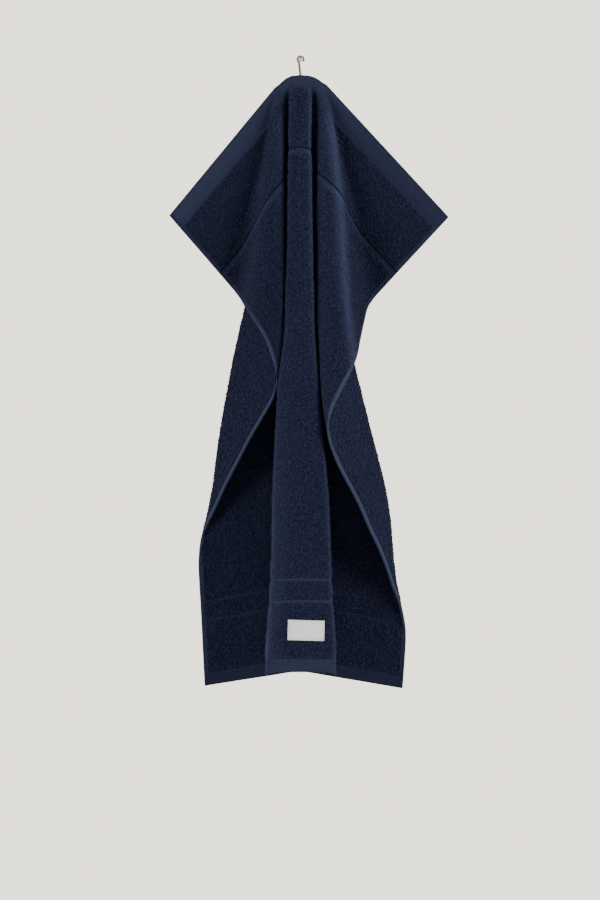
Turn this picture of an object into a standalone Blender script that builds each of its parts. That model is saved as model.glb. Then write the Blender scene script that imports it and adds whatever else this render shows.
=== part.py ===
"""Navy terry hand towel, hung by the middle of one short edge on a small wire wall hook.

Frame, in millimetres here: X is to the right as seen, Y is into the wall, Z is up. The origin is
the middle of the pin's back face, which lies on the wall. The viewer looks along +Y.
"""
import math

import bmesh
import bpy
import numpy as np

MM = 0.001

# Towel, flat: the hang line runs down the cloth a little left of its middle
LEFT_WIDTH = 243.0
RIGHT_WIDTH = 257.0
LENGTH = 700.0
HEM_DROP = -21.5        # top edge of the cloth above the hook, from the origin
HOOK_OUT = 24.0         # how far the top edge stands off the wall at the hang line
PILE_HALF = 1.5         # half the thickness of the looped pile
BAND_HALF = 1.0         # half the thickness of the flat woven bands
TOP_BAND = 22.0
LOW_BAND = 16.0

# Folds of each side, from the centre outward. Each is a straight ray of the cloth that starts at
# the top edge (start) and has a place at each of the LEVELS down the cloth: sideways from the hang
# line and outward from the wall. Between, how softly the cloth turns there, high up and low down,
# and how slack the ray is near the lower edge.
LEVELS = (0, 13, 28, 90, 200, 290, 370, 460, 570, 700)
FOLD_COLUMNS = ("name", "start", "ease_top", "ease_low", "slack", "sideways", "outward")
FOLDS = {
    "left": (
        ("shoulder", 11, 12, 13, 0.0, (10, 11, 13, 16.2, 17.6, 18.4, 28, 33.7, 38, 44.5),
         (24, 26.5, 31.5, 39, 53, 62, 69, 73, 73, 70)),
        ("root", 14, 7, 9, 0.009, (12, 12, 9.5, 5, 3, 4, 7, 6.4, 5, 6),
         (24, 24, 22, 17, 15, 20, 19, 10, 8, 8)),
        ("outline", 18, 9, 10, 0.018, (14, 15.2, 18.5, 31, 57, 77.5, 94, 109.6, 136, 158),
         (24, 24, 23, 20, 18, 16, 15, 14, 12, 10)),
        ("lip", 22, 11, 19, 0.0, (17, 18.2, 20.3, 17.6, 16.2, 23, 33, 47, 60, 74),
         (24, 26, 29, 39, 53, 66, 73, 88, 107, 130)),
        ("crest", 27, 30, 34, 0.0, (21, 25, 32, 48, 70, 96, 120, 145, 175, 210),
         (24, 25.5, 28.5, 35, 42, 54, 68, 86, 110, 140)),
    ),
    "right": (
        ("shoulder", 11, 12, 13, 0.0, (10, 11, 12.5, 14.2, 15.5, 16.4, 22.8, 32.6, 38.2, 45.7),
         (24, 26.5, 31.5, 39, 53, 62, 68, 71, 72, 70)),
        ("root", 14, 7, 9, 0.009, (12, 12, 9.5, 5, 3, 3, 6.6, 8, 5, 6),
         (24, 24, 22, 17, 12, 9, 15, 26, 8, 8)),
        ("outline", 18, 9, 10, 0.017, (14, 15.2, 18.5, 28, 43, 59, 80, 103, 117, 146),
         (24, 24, 23, 20, 18, 16, 15, 14, 12, 10)),
        ("lip", 22, 11, 19, 0.0, (17, 18.5, 21.6, 18.6, 16.2, 18.8, 29.2, 45, 69, 85),
         (24, 26, 29, 39, 55, 69, 80, 87, 112, 135)),
        ("crest", 27, 17, 19, 0.0, (21, 25.5, 35, 46, 57, 74, 94, 115, 148, 185),
         (24, 26, 30.5, 40, 54, 66, 80, 96, 122, 150)),
    ),
}
# Slope of the top edge in degrees, by distance along it from the hang line
EDGE_REACH = (0, 8, 18, 30, 42, 62, 105, 180, 260)
EDGE_SLOPE = {"left": (0, 5, 30, 45, 50, 55.5, 53, 49.5, 48.5),
              "right": (0, 5, 24, 37, 46, 51, 49, 45, 47.5)}
# The wings: their foreshortening along the edge, how they fall from it, and the soft ridge where
# they turn into the lobes (a ray again: its start, its run per millimetre down, its ease)
WING_COLUMNS = ("foreshortening", "fall_sideways", "fall_down", "corner_out",
                "ridge_start", "ridge_run", "ridge_ease")
WINGS = {"left": (0.958, 0.645, -0.750, 9.0, 38, 1.60, 34),
         "right": (0.965, -0.675, -0.728, 9.0, 34, 1.56, 30)}
WEIGHT_STRETCH = 1.009  # the cloth's own weight draws it this much longer
CROWN = 1.5             # the centre fold's front bulges this much
BELLY = {"left": 0.021, "right": 0.004}     # each side's lower panel lies this much flatter

# Grid of the built cloth
COLUMNS = 57
ROWS = 47

# Hook, pin, cord and label
WIRE = 3.0
EYE_RADIUS = 3.5
EYE_OUT = 2.3
PIN_SHANK = 3.4
PIN_HEAD = 5.6
PIN_FRONT = 4.2         # back of the pin's head
PIN_HEAD_THICK = 1.7
CORD = 2.4
SEAT = (15.2, -32.5)    # middle of the hook's bend: outward, up
BEND = 4.0
GAP = 0.35              # between pieces
LABEL_WIDTH = 43.5
LABEL_HEIGHT = 23.4
LABEL_THICK = 0.8
LABEL_MIDDLE = (6.5, 651.4)    # across the cloth from the hang line, down the cloth


def clear_scene():
    """Remove everything, so the script can be run again."""
    for obj in list(bpy.data.objects):
        bpy.data.objects.remove(obj, do_unlink=True)
    for group in list(bpy.data.collections):
        bpy.data.collections.remove(group)


def material(name, colour, roughness, metallic=0.0):
    mat = bpy.data.materials.new(name)
    mat.use_nodes = True
    shader = mat.node_tree.nodes["Principled BSDF"]
    shader.inputs["Base Color"].default_value = (*colour, 1.0)
    shader.inputs["Roughness"].default_value = roughness
    shader.inputs["Metallic"].default_value = metallic
    mat.diffuse_color = (*colour, 1.0)
    return mat


def spline(at, xs, ys):
    """Smooth curve through the table's values that never overshoots them."""
    xs, ys = np.asarray(xs, float), np.asarray(ys, float)
    step, rise = np.diff(xs), np.diff(ys) / np.diff(xs)
    slope = np.zeros_like(ys)
    before, after = rise[:-1], rise[1:]
    same = before * after > 0
    weight = 3 * (step[:-1] + step[1:])
    mean = weight / ((2 * step[1:] + step[:-1]) / np.where(same, before, 1)
                     + (step[1:] + 2 * step[:-1]) / np.where(same, after, 1))
    slope[1:-1] = np.where(same, mean, 0)
    slope[0], slope[-1] = rise[0], rise[-1]
    i = np.clip(np.searchsorted(xs, at) - 1, 0, len(step) - 1)
    t = (at - xs[i]) / step[i]
    return (ys[i] * (1 + 2 * t) * (1 - t) ** 2 + ys[i + 1] * t * t * (3 - 2 * t)
            + step[i] * (slope[i] * t * (1 - t) ** 2 - slope[i + 1] * t * t * (1 - t)))


def smooth(t):
    """Ease from 0 to 1."""
    t = np.clip(t, 0, 1)
    return t * t * (3 - 2 * t)


def ramp(x, ease):
    """0 below, x above, with a rounded turn of half-width ease between them."""
    return np.where(x > ease, x, np.where(x < -ease, 0, (x + ease) ** 2 / (4 * ease)))


def edge_table(side):
    """Sideways reach and drop of the top edge, for each millimetre along it."""
    wing = dict(zip(WING_COLUMNS, WINGS[side]))
    reach = np.arange(0, 1900, 1.0)
    last = EDGE_REACH[-1]
    slope = np.radians(np.where(reach > last, EDGE_SLOPE[side][-1],
                                spline(np.minimum(reach, last), EDGE_REACH, EDGE_SLOPE[side])))
    share = wing["foreshortening"]
    across = np.concatenate([[0], np.cumsum(np.cos(slope[:-1]))]) * share
    drop = np.concatenate([[0], np.cumsum(np.sin(slope[:-1]))]) * share
    return reach, across, -drop


EDGE = {side: edge_table(side) for side in FOLDS}


def edge_point(side, reach):
    along, across, up = EDGE[side]
    return np.interp(reach, along, across), np.interp(reach, along, up)


def side_folds(side, v):
    """For the rows v: the cloth distance and place (sideways, outward, up) of each fold.

    A fold hangs straight from its start on the top edge, so its height follows from its length
    and its place. The cloth between two folds is as wide as they are apart.
    """
    sign = -1 if side == "left" else 1
    width = LEFT_WIDTH if side == "left" else RIGHT_WIDTH
    wing = dict(zip(WING_COLUMNS, WINGS[side]))
    folds = []
    cloth_before, before = 0 * v, None
    for row in FOLDS[side]:
        fold = dict(zip(FOLD_COLUMNS, row))
        x = spline(v, LEVELS, fold["sideways"])
        out = spline(v, LEVELS, fold["outward"])
        edge_x, edge_z = edge_point(side, fold["start"])
        if before is None:
            before = np.array([0 * v, out + 1, -v])
        cloth = cloth_before + 1.0
        for _ in range(12):
            long = np.hypot(cloth - fold["start"], v) * WEIGHT_STRETCH
            long = long * (1 - fold["slack"] * smooth((v - 420) / 280))
            z = edge_z - np.sqrt(np.maximum(long ** 2 - (x - edge_x) ** 2
                                            - (out - HOOK_OUT) ** 2, 0))
            here = np.array([x, out, z])
            apart = np.sqrt(((here - before) ** 2).sum(axis=0))
            rounding = 0.975 - 0.07 * v / LENGTH + BELLY[side] * smooth((v - 450) / 130)
            rounding = 0.985 if fold["name"] == "shoulder" else rounding
            cloth = cloth_before + apart / rounding
        cloth = fold["start"] + (cloth - fold["start"]) * smooth(v / 25)
        ease = fold["ease_top"] + (fold["ease_low"] - fold["ease_top"]) * smooth(v / 280)
        folds.append((cloth, sign * x, out, z, ease))
        cloth_before, before = cloth, here

    def wing_point(cloth):
        edge_x, edge_z = edge_point(side, cloth)
        out = HOOK_OUT + (wing["corner_out"] - HOOK_OUT) * smooth(np.minimum(cloth, width) / width)
        return sign * edge_x + wing["fall_sideways"] * v, out, edge_z + wing["fall_down"] * v

    ridge = np.maximum(wing["ridge_start"] + wing["ridge_run"] * v, cloth_before + 4)
    x, out, z = wing_point(ridge)
    folds.append((ridge, x, out, z, wing["ridge_ease"] + 0 * v))
    near_x, near_z = edge_point(side, ridge)
    far_x, far_z = edge_point(side, ridge + 300)
    folds.append((ridge + 300, x + sign * (far_x - near_x), out, z + far_z - near_z, 10.0 + 0 * v))
    return folds


def fold_rows(v):
    """All folds of the rows v from the far left to the far right, the hang line among them."""
    left, right = side_folds("left", v), side_folds("right", v)
    folds = [(-cloth, x, out, z, ease) for cloth, x, out, z, ease in reversed(left)]
    out = (left[0][2] + right[0][2]) / 2 + CROWN * smooth(v / 60)
    long = v * WEIGHT_STRETCH
    up = -np.sqrt(np.maximum(long ** 2 - (out - HOOK_OUT) ** 2, 0))
    folds.append((0 * v, 0 * v, out, up, 9.0 + 0 * v))
    return folds + right


def cloth_points(u, v):
    """Middle of the cloth at grids u (across from the hang line) and v (down), as X, Y, Z.

    Each row is a straight-sided section through the folds. Its corners are then rounded.
    """
    rows = v[:, 0]
    folds = fold_rows(rows)
    at = np.array([f[0] for f in folds])
    place = np.array([[f[1], f[2], f[3]] for f in folds])
    slopes = np.diff(place, axis=0) / np.diff(at, axis=0)[:, None, :]
    p = place[0][:, :, None] + slopes[0][:, :, None] * (u - at[0][:, None])[None]
    for k in range(1, len(folds) - 1):
        ease = (3.0 + (folds[k][4] - 3.0) * smooth(rows / 90))[:, None]
        p = p + (slopes[k] - slopes[k - 1])[:, :, None] * ramp(u - at[k][:, None], ease)[None]
    return np.stack([p[0], -p[1], p[2] + HEM_DROP], axis=-1)


def half_thickness(v):
    return BAND_HALF + (PILE_HALF - BAND_HALF) * (
        smooth((v - TOP_BAND + 4) / 8) * smooth((LENGTH - LOW_BAND + 4 - v) / 8))


def gathered_columns(v):
    """Column positions of each row, closer together where the cloth folds."""
    fine = np.linspace(-LEFT_WIDTH, RIGHT_WIDTH, 601)
    share = np.linspace(0, 1, COLUMNS)
    folds = fold_rows(v)
    grid = []
    for i, down in enumerate(v):
        crowd = np.full_like(fine, 1.0) + 1.6 * np.exp(-((fine / 60) ** 2)) * (1 - smooth(down / 120))
        for cloth, _, _, _, ease in folds[1:-1]:
            sharp = 2.6 if ease[i] < 22 else 0.6
            crowd = crowd + sharp * np.exp(-(((fine - cloth[i]) / (8 + 0.5 * ease[i])) ** 2))
        total = np.concatenate([[0], np.cumsum((crowd[1:] + crowd[:-1]) / 2)])
        grid.append(np.interp(share, total / total[-1], fine))
    return np.array(grid)


def slab(name, middle, front, back, mat):
    """Closed body from a grid of middle points, thickened along its normals.

    front and back are the distances to the two faces. The grid runs left to right and down.
    """
    across = np.gradient(middle, axis=1)
    down = np.gradient(middle, axis=0)
    normal = np.cross(down, across)
    normal /= np.linalg.norm(normal, axis=-1, keepdims=True)
    rows, columns = middle.shape[:2]
    faces_front = middle + normal * front[..., None]
    faces_back = middle - normal * back[..., None]
    points = np.concatenate([faces_front.reshape(-1, 3), faces_back.reshape(-1, 3)]) * MM
    count = rows * columns

    def index(r, c, layer):
        return layer * count + r * columns + c

    faces = []
    for r in range(rows - 1):
        for c in range(columns - 1):
            faces.append((index(r, c, 0), index(r + 1, c, 0), index(r + 1, c + 1, 0), index(r, c + 1, 0)))
            faces.append((index(r, c, 1), index(r, c + 1, 1), index(r + 1, c + 1, 1), index(r + 1, c, 1)))
    rim = [(0, c) for c in range(columns)] + [(r, columns - 1) for r in range(1, rows)]
    rim += [(rows - 1, c) for c in range(columns - 2, -1, -1)] + [(r, 0) for r in range(rows - 2, 0, -1)]
    for (r0, c0), (r1, c1) in zip(rim, rim[1:] + rim[:1]):
        faces.append((index(r0, c0, 0), index(r1, c1, 0), index(r1, c1, 1), index(r0, c0, 1)))
    mesh = bpy.data.meshes.new(name)
    mesh.from_pydata(points.tolist(), [], faces)
    tidy = bmesh.new()
    tidy.from_mesh(mesh)
    bmesh.ops.recalc_face_normals(tidy, faces=tidy.faces)
    tidy.to_mesh(mesh)
    tidy.free()
    return placed(bpy.data.objects.new(name, mesh), mat)


def placed(obj, mat):
    obj.data.materials.append(mat)
    PART.objects.link(obj)
    return obj


def even_path(points, count):
    """Rounded path through the points (sideways, outward, up), as count even steps."""
    points = np.array(points, float)
    ends = np.vstack([2 * points[0] - points[1], points, 2 * points[-1] - points[-2]])
    t = np.linspace(0, 1, 12, endpoint=False)[:, None]
    pieces = []
    for a, b, c, d in zip(ends, ends[1:], ends[2:], ends[3:]):
        pieces.append(0.5 * (2 * b + (c - a) * t + (2 * a - 5 * b + 4 * c - d) * t ** 2
                             + (3 * b - a - 3 * c + d) * t ** 3))
    path = np.vstack(pieces + [points[-1:]])
    run = np.concatenate([[0], np.cumsum(np.linalg.norm(np.diff(path, axis=0), axis=1))])
    at = np.linspace(0, run[-1], count)
    return np.stack([np.interp(at, run, path[:, k]) for k in range(3)], axis=-1)


def rod(name, path, diameter, mat):
    """Round wire or cord along a path of (sideways, outward, up), as a closed mesh."""
    curve = bpy.data.curves.new(name + " path", "CURVE")
    curve.dimensions = "3D"
    curve.bevel_depth = diameter / 2 * MM
    curve.bevel_resolution = 2
    curve.use_fill_caps = True
    line = curve.splines.new("POLY")
    line.points.add(len(path) - 1)
    for point, (x, out, up) in zip(line.points, path):
        point.co = (x * MM, -out * MM, up * MM, 1.0)
    guide = bpy.data.objects.new(name + " path", curve)
    PART.objects.link(guide)
    mesh = bpy.data.meshes.new_from_object(guide.evaluated_get(bpy.context.evaluated_depsgraph_get()))
    bpy.data.objects.remove(guide, do_unlink=True)
    bpy.data.curves.remove(curve)
    mesh.name = name
    tidy = bmesh.new()
    tidy.from_mesh(mesh)
    bmesh.ops.remove_doubles(tidy, verts=tidy.verts, dist=0.00001)
    bmesh.ops.recalc_face_normals(tidy, faces=tidy.faces)
    tidy.to_mesh(mesh)
    tidy.free()
    mesh.materials.clear()
    return placed(bpy.data.objects.new(name, mesh), mat)


def turned(name, profile, sides, mat):
    """Solid of revolution about the Y axis from (radius, outward) pairs, ends closed."""
    tidy = bmesh.new()
    rings = []
    for radius, out in profile:
        ring = [tidy.verts.new((radius * math.cos(a) * MM, -out * MM, radius * math.sin(a) * MM))
                for a in (2 * math.pi * k / sides for k in range(sides))]
        rings.append(ring)
    for low, high in zip(rings, rings[1:]):
        for k in range(sides):
            j = (k + 1) % sides
            tidy.faces.new((low[k], low[j], high[j], high[k]))
    tidy.faces.new(rings[0])
    tidy.faces.new(rings[-1])
    bmesh.ops.recalc_face_normals(tidy, faces=tidy.faces)
    mesh = bpy.data.meshes.new(name)
    tidy.to_mesh(mesh)
    tidy.free()
    return placed(bpy.data.objects.new(name, mesh), mat)


def build_towel(mat):
    """The whole cloth in one piece: wings, lobes, flaps, side panels and centre fold."""
    v = LENGTH * np.linspace(0, 1, ROWS) ** 1.3
    u = gathered_columns(v)
    down = np.repeat(v[:, None], COLUMNS, axis=1)
    half = half_thickness(down)
    return slab("towel", cloth_points(u, down), half, half, mat)


def build_label(mat):
    """Blank label, flat on the front of the centre fold near the lower edge."""
    middle_u, middle_v = LABEL_MIDDLE
    u = np.linspace(middle_u - LABEL_WIDTH / 2, middle_u + LABEL_WIDTH / 2, 9)
    v = np.linspace(middle_v - LABEL_HEIGHT / 2, middle_v + LABEL_HEIGHT / 2, 5)
    across, down = np.meshgrid(u, v)
    near = np.full_like(across, PILE_HALF + GAP)
    return slab("label", cloth_points(across, down), near + LABEL_THICK, -near, mat)


def build_pin(mat):
    shank, head = PIN_SHANK / 2, PIN_HEAD / 2
    profile = ((shank, 0.0), (shank, PIN_FRONT), (head - 0.4, PIN_FRONT), (head, PIN_FRONT + 0.4),
               (head, PIN_FRONT + PIN_HEAD_THICK - 0.5), (head - 0.6, PIN_FRONT + PIN_HEAD_THICK))
    return turned("pin", profile, 24, mat)


def build_hook(mat):
    """Wire hook: an eye round the pin, a stem that leans forward, and a bend with a raised tip."""
    path = []
    for step in range(16):
        angle = math.radians(-42 + step * 18)
        path.append((EYE_RADIUS * math.cos(angle), EYE_OUT + 0.05 * step, EYE_RADIUS * math.sin(angle)))
    seat_out, seat_up = SEAT
    path += [(-1.7, 4.6, -6.0), (-1.0, 7.0, -12.5), (-0.3, 9.4, -20.0), (0.0, seat_out - BEND, -28.0)]
    for step in range(9):
        angle = math.radians(180 + step * 22.5)
        path.append((0.0, seat_out + BEND * math.cos(angle), seat_up + BEND * math.sin(angle)))
    path.append((0.0, seat_out + BEND, seat_up + 3.5))
    return rod("hook", even_path(path, 64), WIRE, mat)


def build_cord(mat):
    """Cord loop that rests in the hook's bend, its two legs along the back of the centre fold."""
    seat_out, seat_up = SEAT
    top = seat_up - BEND + WIRE / 2 + GAP + CORD / 2
    leg = ((3.9, 17.0, top - 5.0), (4.3, 22.5, top - 12.0), (4.3, 27.3, top - 21.0))
    ends = []
    for down in (48.0, 58.0, 70.0):
        point = cloth_points(np.array([[4.3, 4.3]]), np.array([[down, down]]))[0, 0]
        ends.append((4.3, -point[1] - PILE_HALF - GAP - CORD / 2 - 0.15, point[2]))
    half = [(0.0, seat_out, top), (2.6, seat_out + 0.3, top - 1.2)] + list(leg) + ends
    path = [(-x, out, up) for x, out, up in reversed(half[1:])] + half
    return rod("cord", even_path(path, 60), CORD, mat)


clear_scene()
PART = bpy.data.collections.new("towel on a wall hook")
bpy.context.scene.collection.children.link(PART)
TERRY = material("navy terry", (0.012, 0.028, 0.095), 0.95)
TAPE = material("off-white tape", (0.80, 0.79, 0.76), 0.85)
NAVY_CORD = material("navy cord", (0.015, 0.032, 0.10), 0.9)
STEEL = material("steel wire", (0.42, 0.40, 0.37), 0.35, 1.0)
PIN_STEEL = material("steel pin", (0.62, 0.60, 0.57), 0.3, 1.0)

build_towel(TERRY)
build_label(TAPE)
build_cord(NAVY_CORD)
build_hook(STEEL)
build_pin(PIN_STEEL)
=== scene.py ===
# %% [markdown]
# # A terry towel on a wall hook
#
# The object is a navy terry hand towel. It hangs by a cord loop from a small wire hook, so its
# own weight draws it into long folds that all start near the hook. This script loads the packed
# solids as a frame and dresses them: the cloth gets its pile, bands, hems and seams, the label
# its weave and stitches, the cord its twist, and the wire and pin their metal.
#
# Everything is in metres, X to the right as seen, Y into the wall, Z up. Cloth sizes are given in
# millimetres and multiplied by MM where they meet the mesh.

# %% Load the frame
import math

import bpy
import numpy as np
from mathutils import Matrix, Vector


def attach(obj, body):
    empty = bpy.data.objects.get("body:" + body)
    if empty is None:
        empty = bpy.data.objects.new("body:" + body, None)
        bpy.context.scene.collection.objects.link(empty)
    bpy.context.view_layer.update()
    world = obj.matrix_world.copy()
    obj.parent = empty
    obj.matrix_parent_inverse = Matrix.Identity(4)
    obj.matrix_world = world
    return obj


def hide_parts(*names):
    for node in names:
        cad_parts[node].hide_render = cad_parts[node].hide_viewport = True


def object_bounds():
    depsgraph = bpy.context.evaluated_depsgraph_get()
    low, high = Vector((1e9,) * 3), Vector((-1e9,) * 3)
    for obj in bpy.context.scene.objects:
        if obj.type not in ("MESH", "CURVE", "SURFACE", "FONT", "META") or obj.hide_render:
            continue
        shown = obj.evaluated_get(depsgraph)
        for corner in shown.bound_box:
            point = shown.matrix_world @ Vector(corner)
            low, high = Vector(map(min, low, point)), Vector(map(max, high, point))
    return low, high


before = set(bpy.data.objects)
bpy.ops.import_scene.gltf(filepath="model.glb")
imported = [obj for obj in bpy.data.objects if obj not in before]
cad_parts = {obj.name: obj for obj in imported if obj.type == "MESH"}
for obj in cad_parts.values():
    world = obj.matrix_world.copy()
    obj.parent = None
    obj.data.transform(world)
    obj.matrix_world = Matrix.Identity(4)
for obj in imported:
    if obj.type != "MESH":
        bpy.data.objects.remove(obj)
cad_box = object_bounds()
MM = 0.001
print("nodes:", sorted(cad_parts))

# %% [markdown]
# ## Camera
#
# The photograph looks straight at the towel, level with its middle and from about three metres,
# because both wings look alike and the wire's eye looks round. A long lens keeps the folds'
# proportions. The camera comes first, so that each piece can be judged from the start.

# %% Place the camera
CAMERA_SIDE = -0.0007
CAMERA_AWAY = 3.0
CAMERA_HEIGHT = -0.4668
LENS_MM = 100.3
SENSOR_MM = 36.0

camera_data = bpy.data.cameras.new("camera")
camera_data.lens = LENS_MM
camera_data.sensor_width = SENSOR_MM
camera = bpy.data.objects.new("camera", camera_data)
camera.location = (CAMERA_SIDE, -CAMERA_AWAY, CAMERA_HEIGHT)
camera.rotation_euler = (math.radians(90), 0, 0)
bpy.context.collection.objects.link(camera)
bpy.context.scene.camera = camera
print("camera height", CAMERA_HEIGHT)

# %% [markdown]
# ## The fold table
#
# Cloth that hangs from one point folds along straight rays that run out from that point. A cloth
# simulation would fold it anywhere, so the folds are given as a table, read off the photograph. It
# names each ray on each side, from the centre outward: the shoulder of the centre fold, the root
# behind it, the outline fold, the lip that comes forward beside the centre fold, and the crest
# where the cloth turns out to the wing. For some levels down the cloth it says how far sideways
# and how far off the wall the ray is, in millimetres. Before that, a row says where its ray leaves
# the top edge, how widely its corner is rounded at the top and lower down, and how much of its
# length is slack. The solids were built from the same values.

# %% Fold values
LEFT_WIDTH = 243.0
RIGHT_WIDTH = 257.0
SIDES = {"left": (-1, LEFT_WIDTH), "right": (1, RIGHT_WIDTH)}
LENGTH = 700.0
LEVELS = (0, 13, 28, 90, 200, 290, 370, 460, 570, 700)
FOLD_COLUMNS = ("name", "start", "ease_top", "ease_low", "slack", "sideways", "outward")
FOLDS = {
    "left": (
        ("shoulder", 11, 12, 13, 0.0, (10, 11, 13, 16.2, 17.6, 18.4, 28, 33.7, 38, 44.5),
         (24, 26.5, 31.5, 39, 53, 62, 69, 73, 73, 70)),
        ("root", 14, 7, 9, 0.009, (12, 12, 9.5, 5, 3, 4, 7, 6.4, 5, 6),
         (24, 24, 22, 17, 15, 20, 19, 10, 8, 8)),
        ("outline", 18, 9, 10, 0.018, (14, 15.2, 18.5, 31, 57, 77.5, 94, 109.6, 136, 158),
         (24, 24, 23, 20, 18, 16, 15, 14, 12, 10)),
        ("lip", 22, 11, 19, 0.0, (17, 18.2, 20.3, 17.6, 16.2, 23, 33, 47, 60, 74),
         (24, 26, 29, 39, 53, 66, 73, 88, 107, 130)),
        ("crest", 27, 30, 34, 0.0, (21, 25, 32, 48, 70, 96, 120, 145, 175, 210),
         (24, 25.5, 28.5, 35, 42, 54, 68, 86, 110, 140)),
    ),
    "right": (
        ("shoulder", 11, 12, 13, 0.0, (10, 11, 12.5, 14.2, 15.5, 16.4, 22.8, 32.6, 38.2, 45.7),
         (24, 26.5, 31.5, 39, 53, 62, 68, 71, 72, 70)),
        ("root", 14, 7, 9, 0.009, (12, 12, 9.5, 5, 3, 3, 6.6, 8, 5, 6),
         (24, 24, 22, 17, 12, 9, 15, 26, 8, 8)),
        ("outline", 18, 9, 10, 0.017, (14, 15.2, 18.5, 28, 43, 59, 80, 103, 117, 146),
         (24, 24, 23, 20, 18, 16, 15, 14, 12, 10)),
        ("lip", 22, 11, 19, 0.0, (17, 18.5, 21.6, 18.6, 16.2, 18.8, 29.2, 45, 69, 85),
         (24, 26, 29, 39, 55, 69, 80, 87, 112, 135)),
        ("crest", 27, 17, 19, 0.0, (21, 25.5, 35, 46, 57, 74, 94, 115, 148, 185),
         (24, 26, 30.5, 40, 54, 66, 80, 96, 122, 150)),
    ),
}
print("fold rays:", sum(len(rows) for rows in FOLDS.values()))

# %% [markdown]
# ## Curves through a table
#
# A table has few numbers and a fold has none of their steps, so a curve has to pass through them
# without waves of its own. An ordinary cubic spline overshoots beside a sharp change, and that
# would be a false bulge in the cloth. This one takes a harmonic mean of the slopes on both sides
# of each point, which can't overshoot. Two small helpers ease a value in and out.

# %% Small curve helpers
def spline(at, xs, ys):
    """Cubic through the points (xs, ys). Its slope at a point is the harmonic mean of the slopes on
    both sides, weighted by their lengths, or 0 where the two disagree in sign."""
    xs, ys = np.asarray(xs, float), np.asarray(ys, float)
    step, rise = np.diff(xs), np.diff(ys) / np.diff(xs)
    slope = np.zeros_like(ys)
    before, after = rise[:-1], rise[1:]
    same = before * after > 0
    mean = 3 * (step[:-1] + step[1:]) / (
        (2 * step[1:] + step[:-1]) / np.where(same, before, 1)
        + (step[1:] + 2 * step[:-1]) / np.where(same, after, 1))
    slope[1:-1] = np.where(same, mean, 0)
    slope[0], slope[-1] = rise[0], rise[-1]
    i = np.clip(np.searchsorted(xs, at) - 1, 0, len(step) - 1)
    t = (at - xs[i]) / step[i]
    return (ys[i] * (1 + 2 * t) * (1 - t) ** 2 + ys[i + 1] * t * t * (3 - 2 * t)
            + step[i] * (slope[i] * t * (1 - t) ** 2 - slope[i + 1] * t * t * (1 - t)))


def smooth(t):
    """Ease from 0 to 1: 3 t squared less 2 t cubed, held at both ends."""
    t = np.clip(t, 0, 1)
    return t * t * (3 - 2 * t)


def ramp(x, ease):
    """0 below, x above, with a parabola of half-width ease between the two."""
    return np.where(x > ease, x, np.where(x < -ease, 0, (x + ease) ** 2 / (4 * ease)))


halfway = spline(np.array([45.0]), LEVELS, FOLDS["left"][0][5])
print("left shoulder at level 45, sideways:", round(float(halfway[0]), 1))

# %% [markdown]
# ## The top edge
#
# The cord holds the middle of the top edge, and from there the edge falls away on both sides. It
# could be drawn as a curve, but nothing would keep that curve as long as the cloth is wide. Here
# only its slope is given, level at the hook and steep beside it. Summing the slope's cosine and
# sine a millimetre at a time gives an edge of the right length. The real edge is a little slack and
# turned away, so both sums are taken a few per cent short.

# %% Top edge of the cloth
EDGE_REACH = (0, 8, 18, 30, 42, 62, 105, 180, 260)
EDGE_SLOPE = {"left": (0, 5, 30, 45, 50, 55.5, 53, 49.5, 48.5),
              "right": (0, 5, 24, 37, 46, 51, 49, 45, 47.5)}
EDGE_TABLE_END = 1900
WING_COLUMNS = ("foreshortening", "fall_sideways", "fall_down", "corner_out",
                "ridge_start", "ridge_run", "ridge_ease")
WINGS = {"left": (0.958, 0.645, -0.750, 9.0, 38, 1.60, 34),
         "right": (0.965, -0.675, -0.728, 9.0, 34, 1.56, 30)}


def edge_table(side):
    """Reach along the edge, and the sums of the slope's cosine and of minus its sine up to there."""
    wing = dict(zip(WING_COLUMNS, WINGS[side]))
    reach = np.arange(0, EDGE_TABLE_END, 1.0)
    last = EDGE_REACH[-1]
    slope = np.radians(np.where(reach > last, EDGE_SLOPE[side][-1],
                                spline(np.minimum(reach, last), EDGE_REACH, EDGE_SLOPE[side])))
    share = wing["foreshortening"]
    across = np.concatenate([[0], np.cumsum(np.cos(slope[:-1]))]) * share
    drop = np.concatenate([[0], np.cumsum(np.sin(slope[:-1]))]) * share
    return reach, across, -drop


EDGE = {side: edge_table(side) for side in FOLDS}


def edge_point(side, reach):
    """Place (sideways, up) of the edge that far from its middle, read off the side's table."""
    along, across, up = EDGE[side]
    return np.interp(reach, along, across), np.interp(reach, along, up)


print("left corner reach:", [round(float(c), 1) for c in edge_point("left", LEFT_WIDTH)])

# %% [markdown]
# ## Where the folds lie
#
# Each ray hangs straight, so the table gives it two coordinates and its own length gives the third
# by Pythagoras: the fall squared is the length squared less the squares of the ways sideways and
# outward. The strip of cloth between two rays is as wide as the rays are apart, and a few per cent
# more, as cloth never hangs quite taut. So the towel keeps nearly its true size, which a free-hand
# surface doesn't. Beyond the crest the wing hangs flat, with one soft ridge.

# %% The flat wing
HOOK_OUT = 24.0


def wing_point(side, cloth, v):
    """Place on the flat wing: the edge's place there, plus v times the wing's direction of fall."""
    sign, width = SIDES[side]
    wing = dict(zip(WING_COLUMNS, WINGS[side]))
    edge_x, edge_z = edge_point(side, cloth)
    out = HOOK_OUT + (wing["corner_out"] - HOOK_OUT) * smooth(np.minimum(cloth, width) / width)
    return sign * edge_x + wing["fall_sideways"] * v, out, edge_z + wing["fall_down"] * v


at_hem = wing_point("left", LEFT_WIDTH, 50.0)
print("left hem 50 mm below the corner:", [round(float(c)) for c in at_hem])

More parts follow.
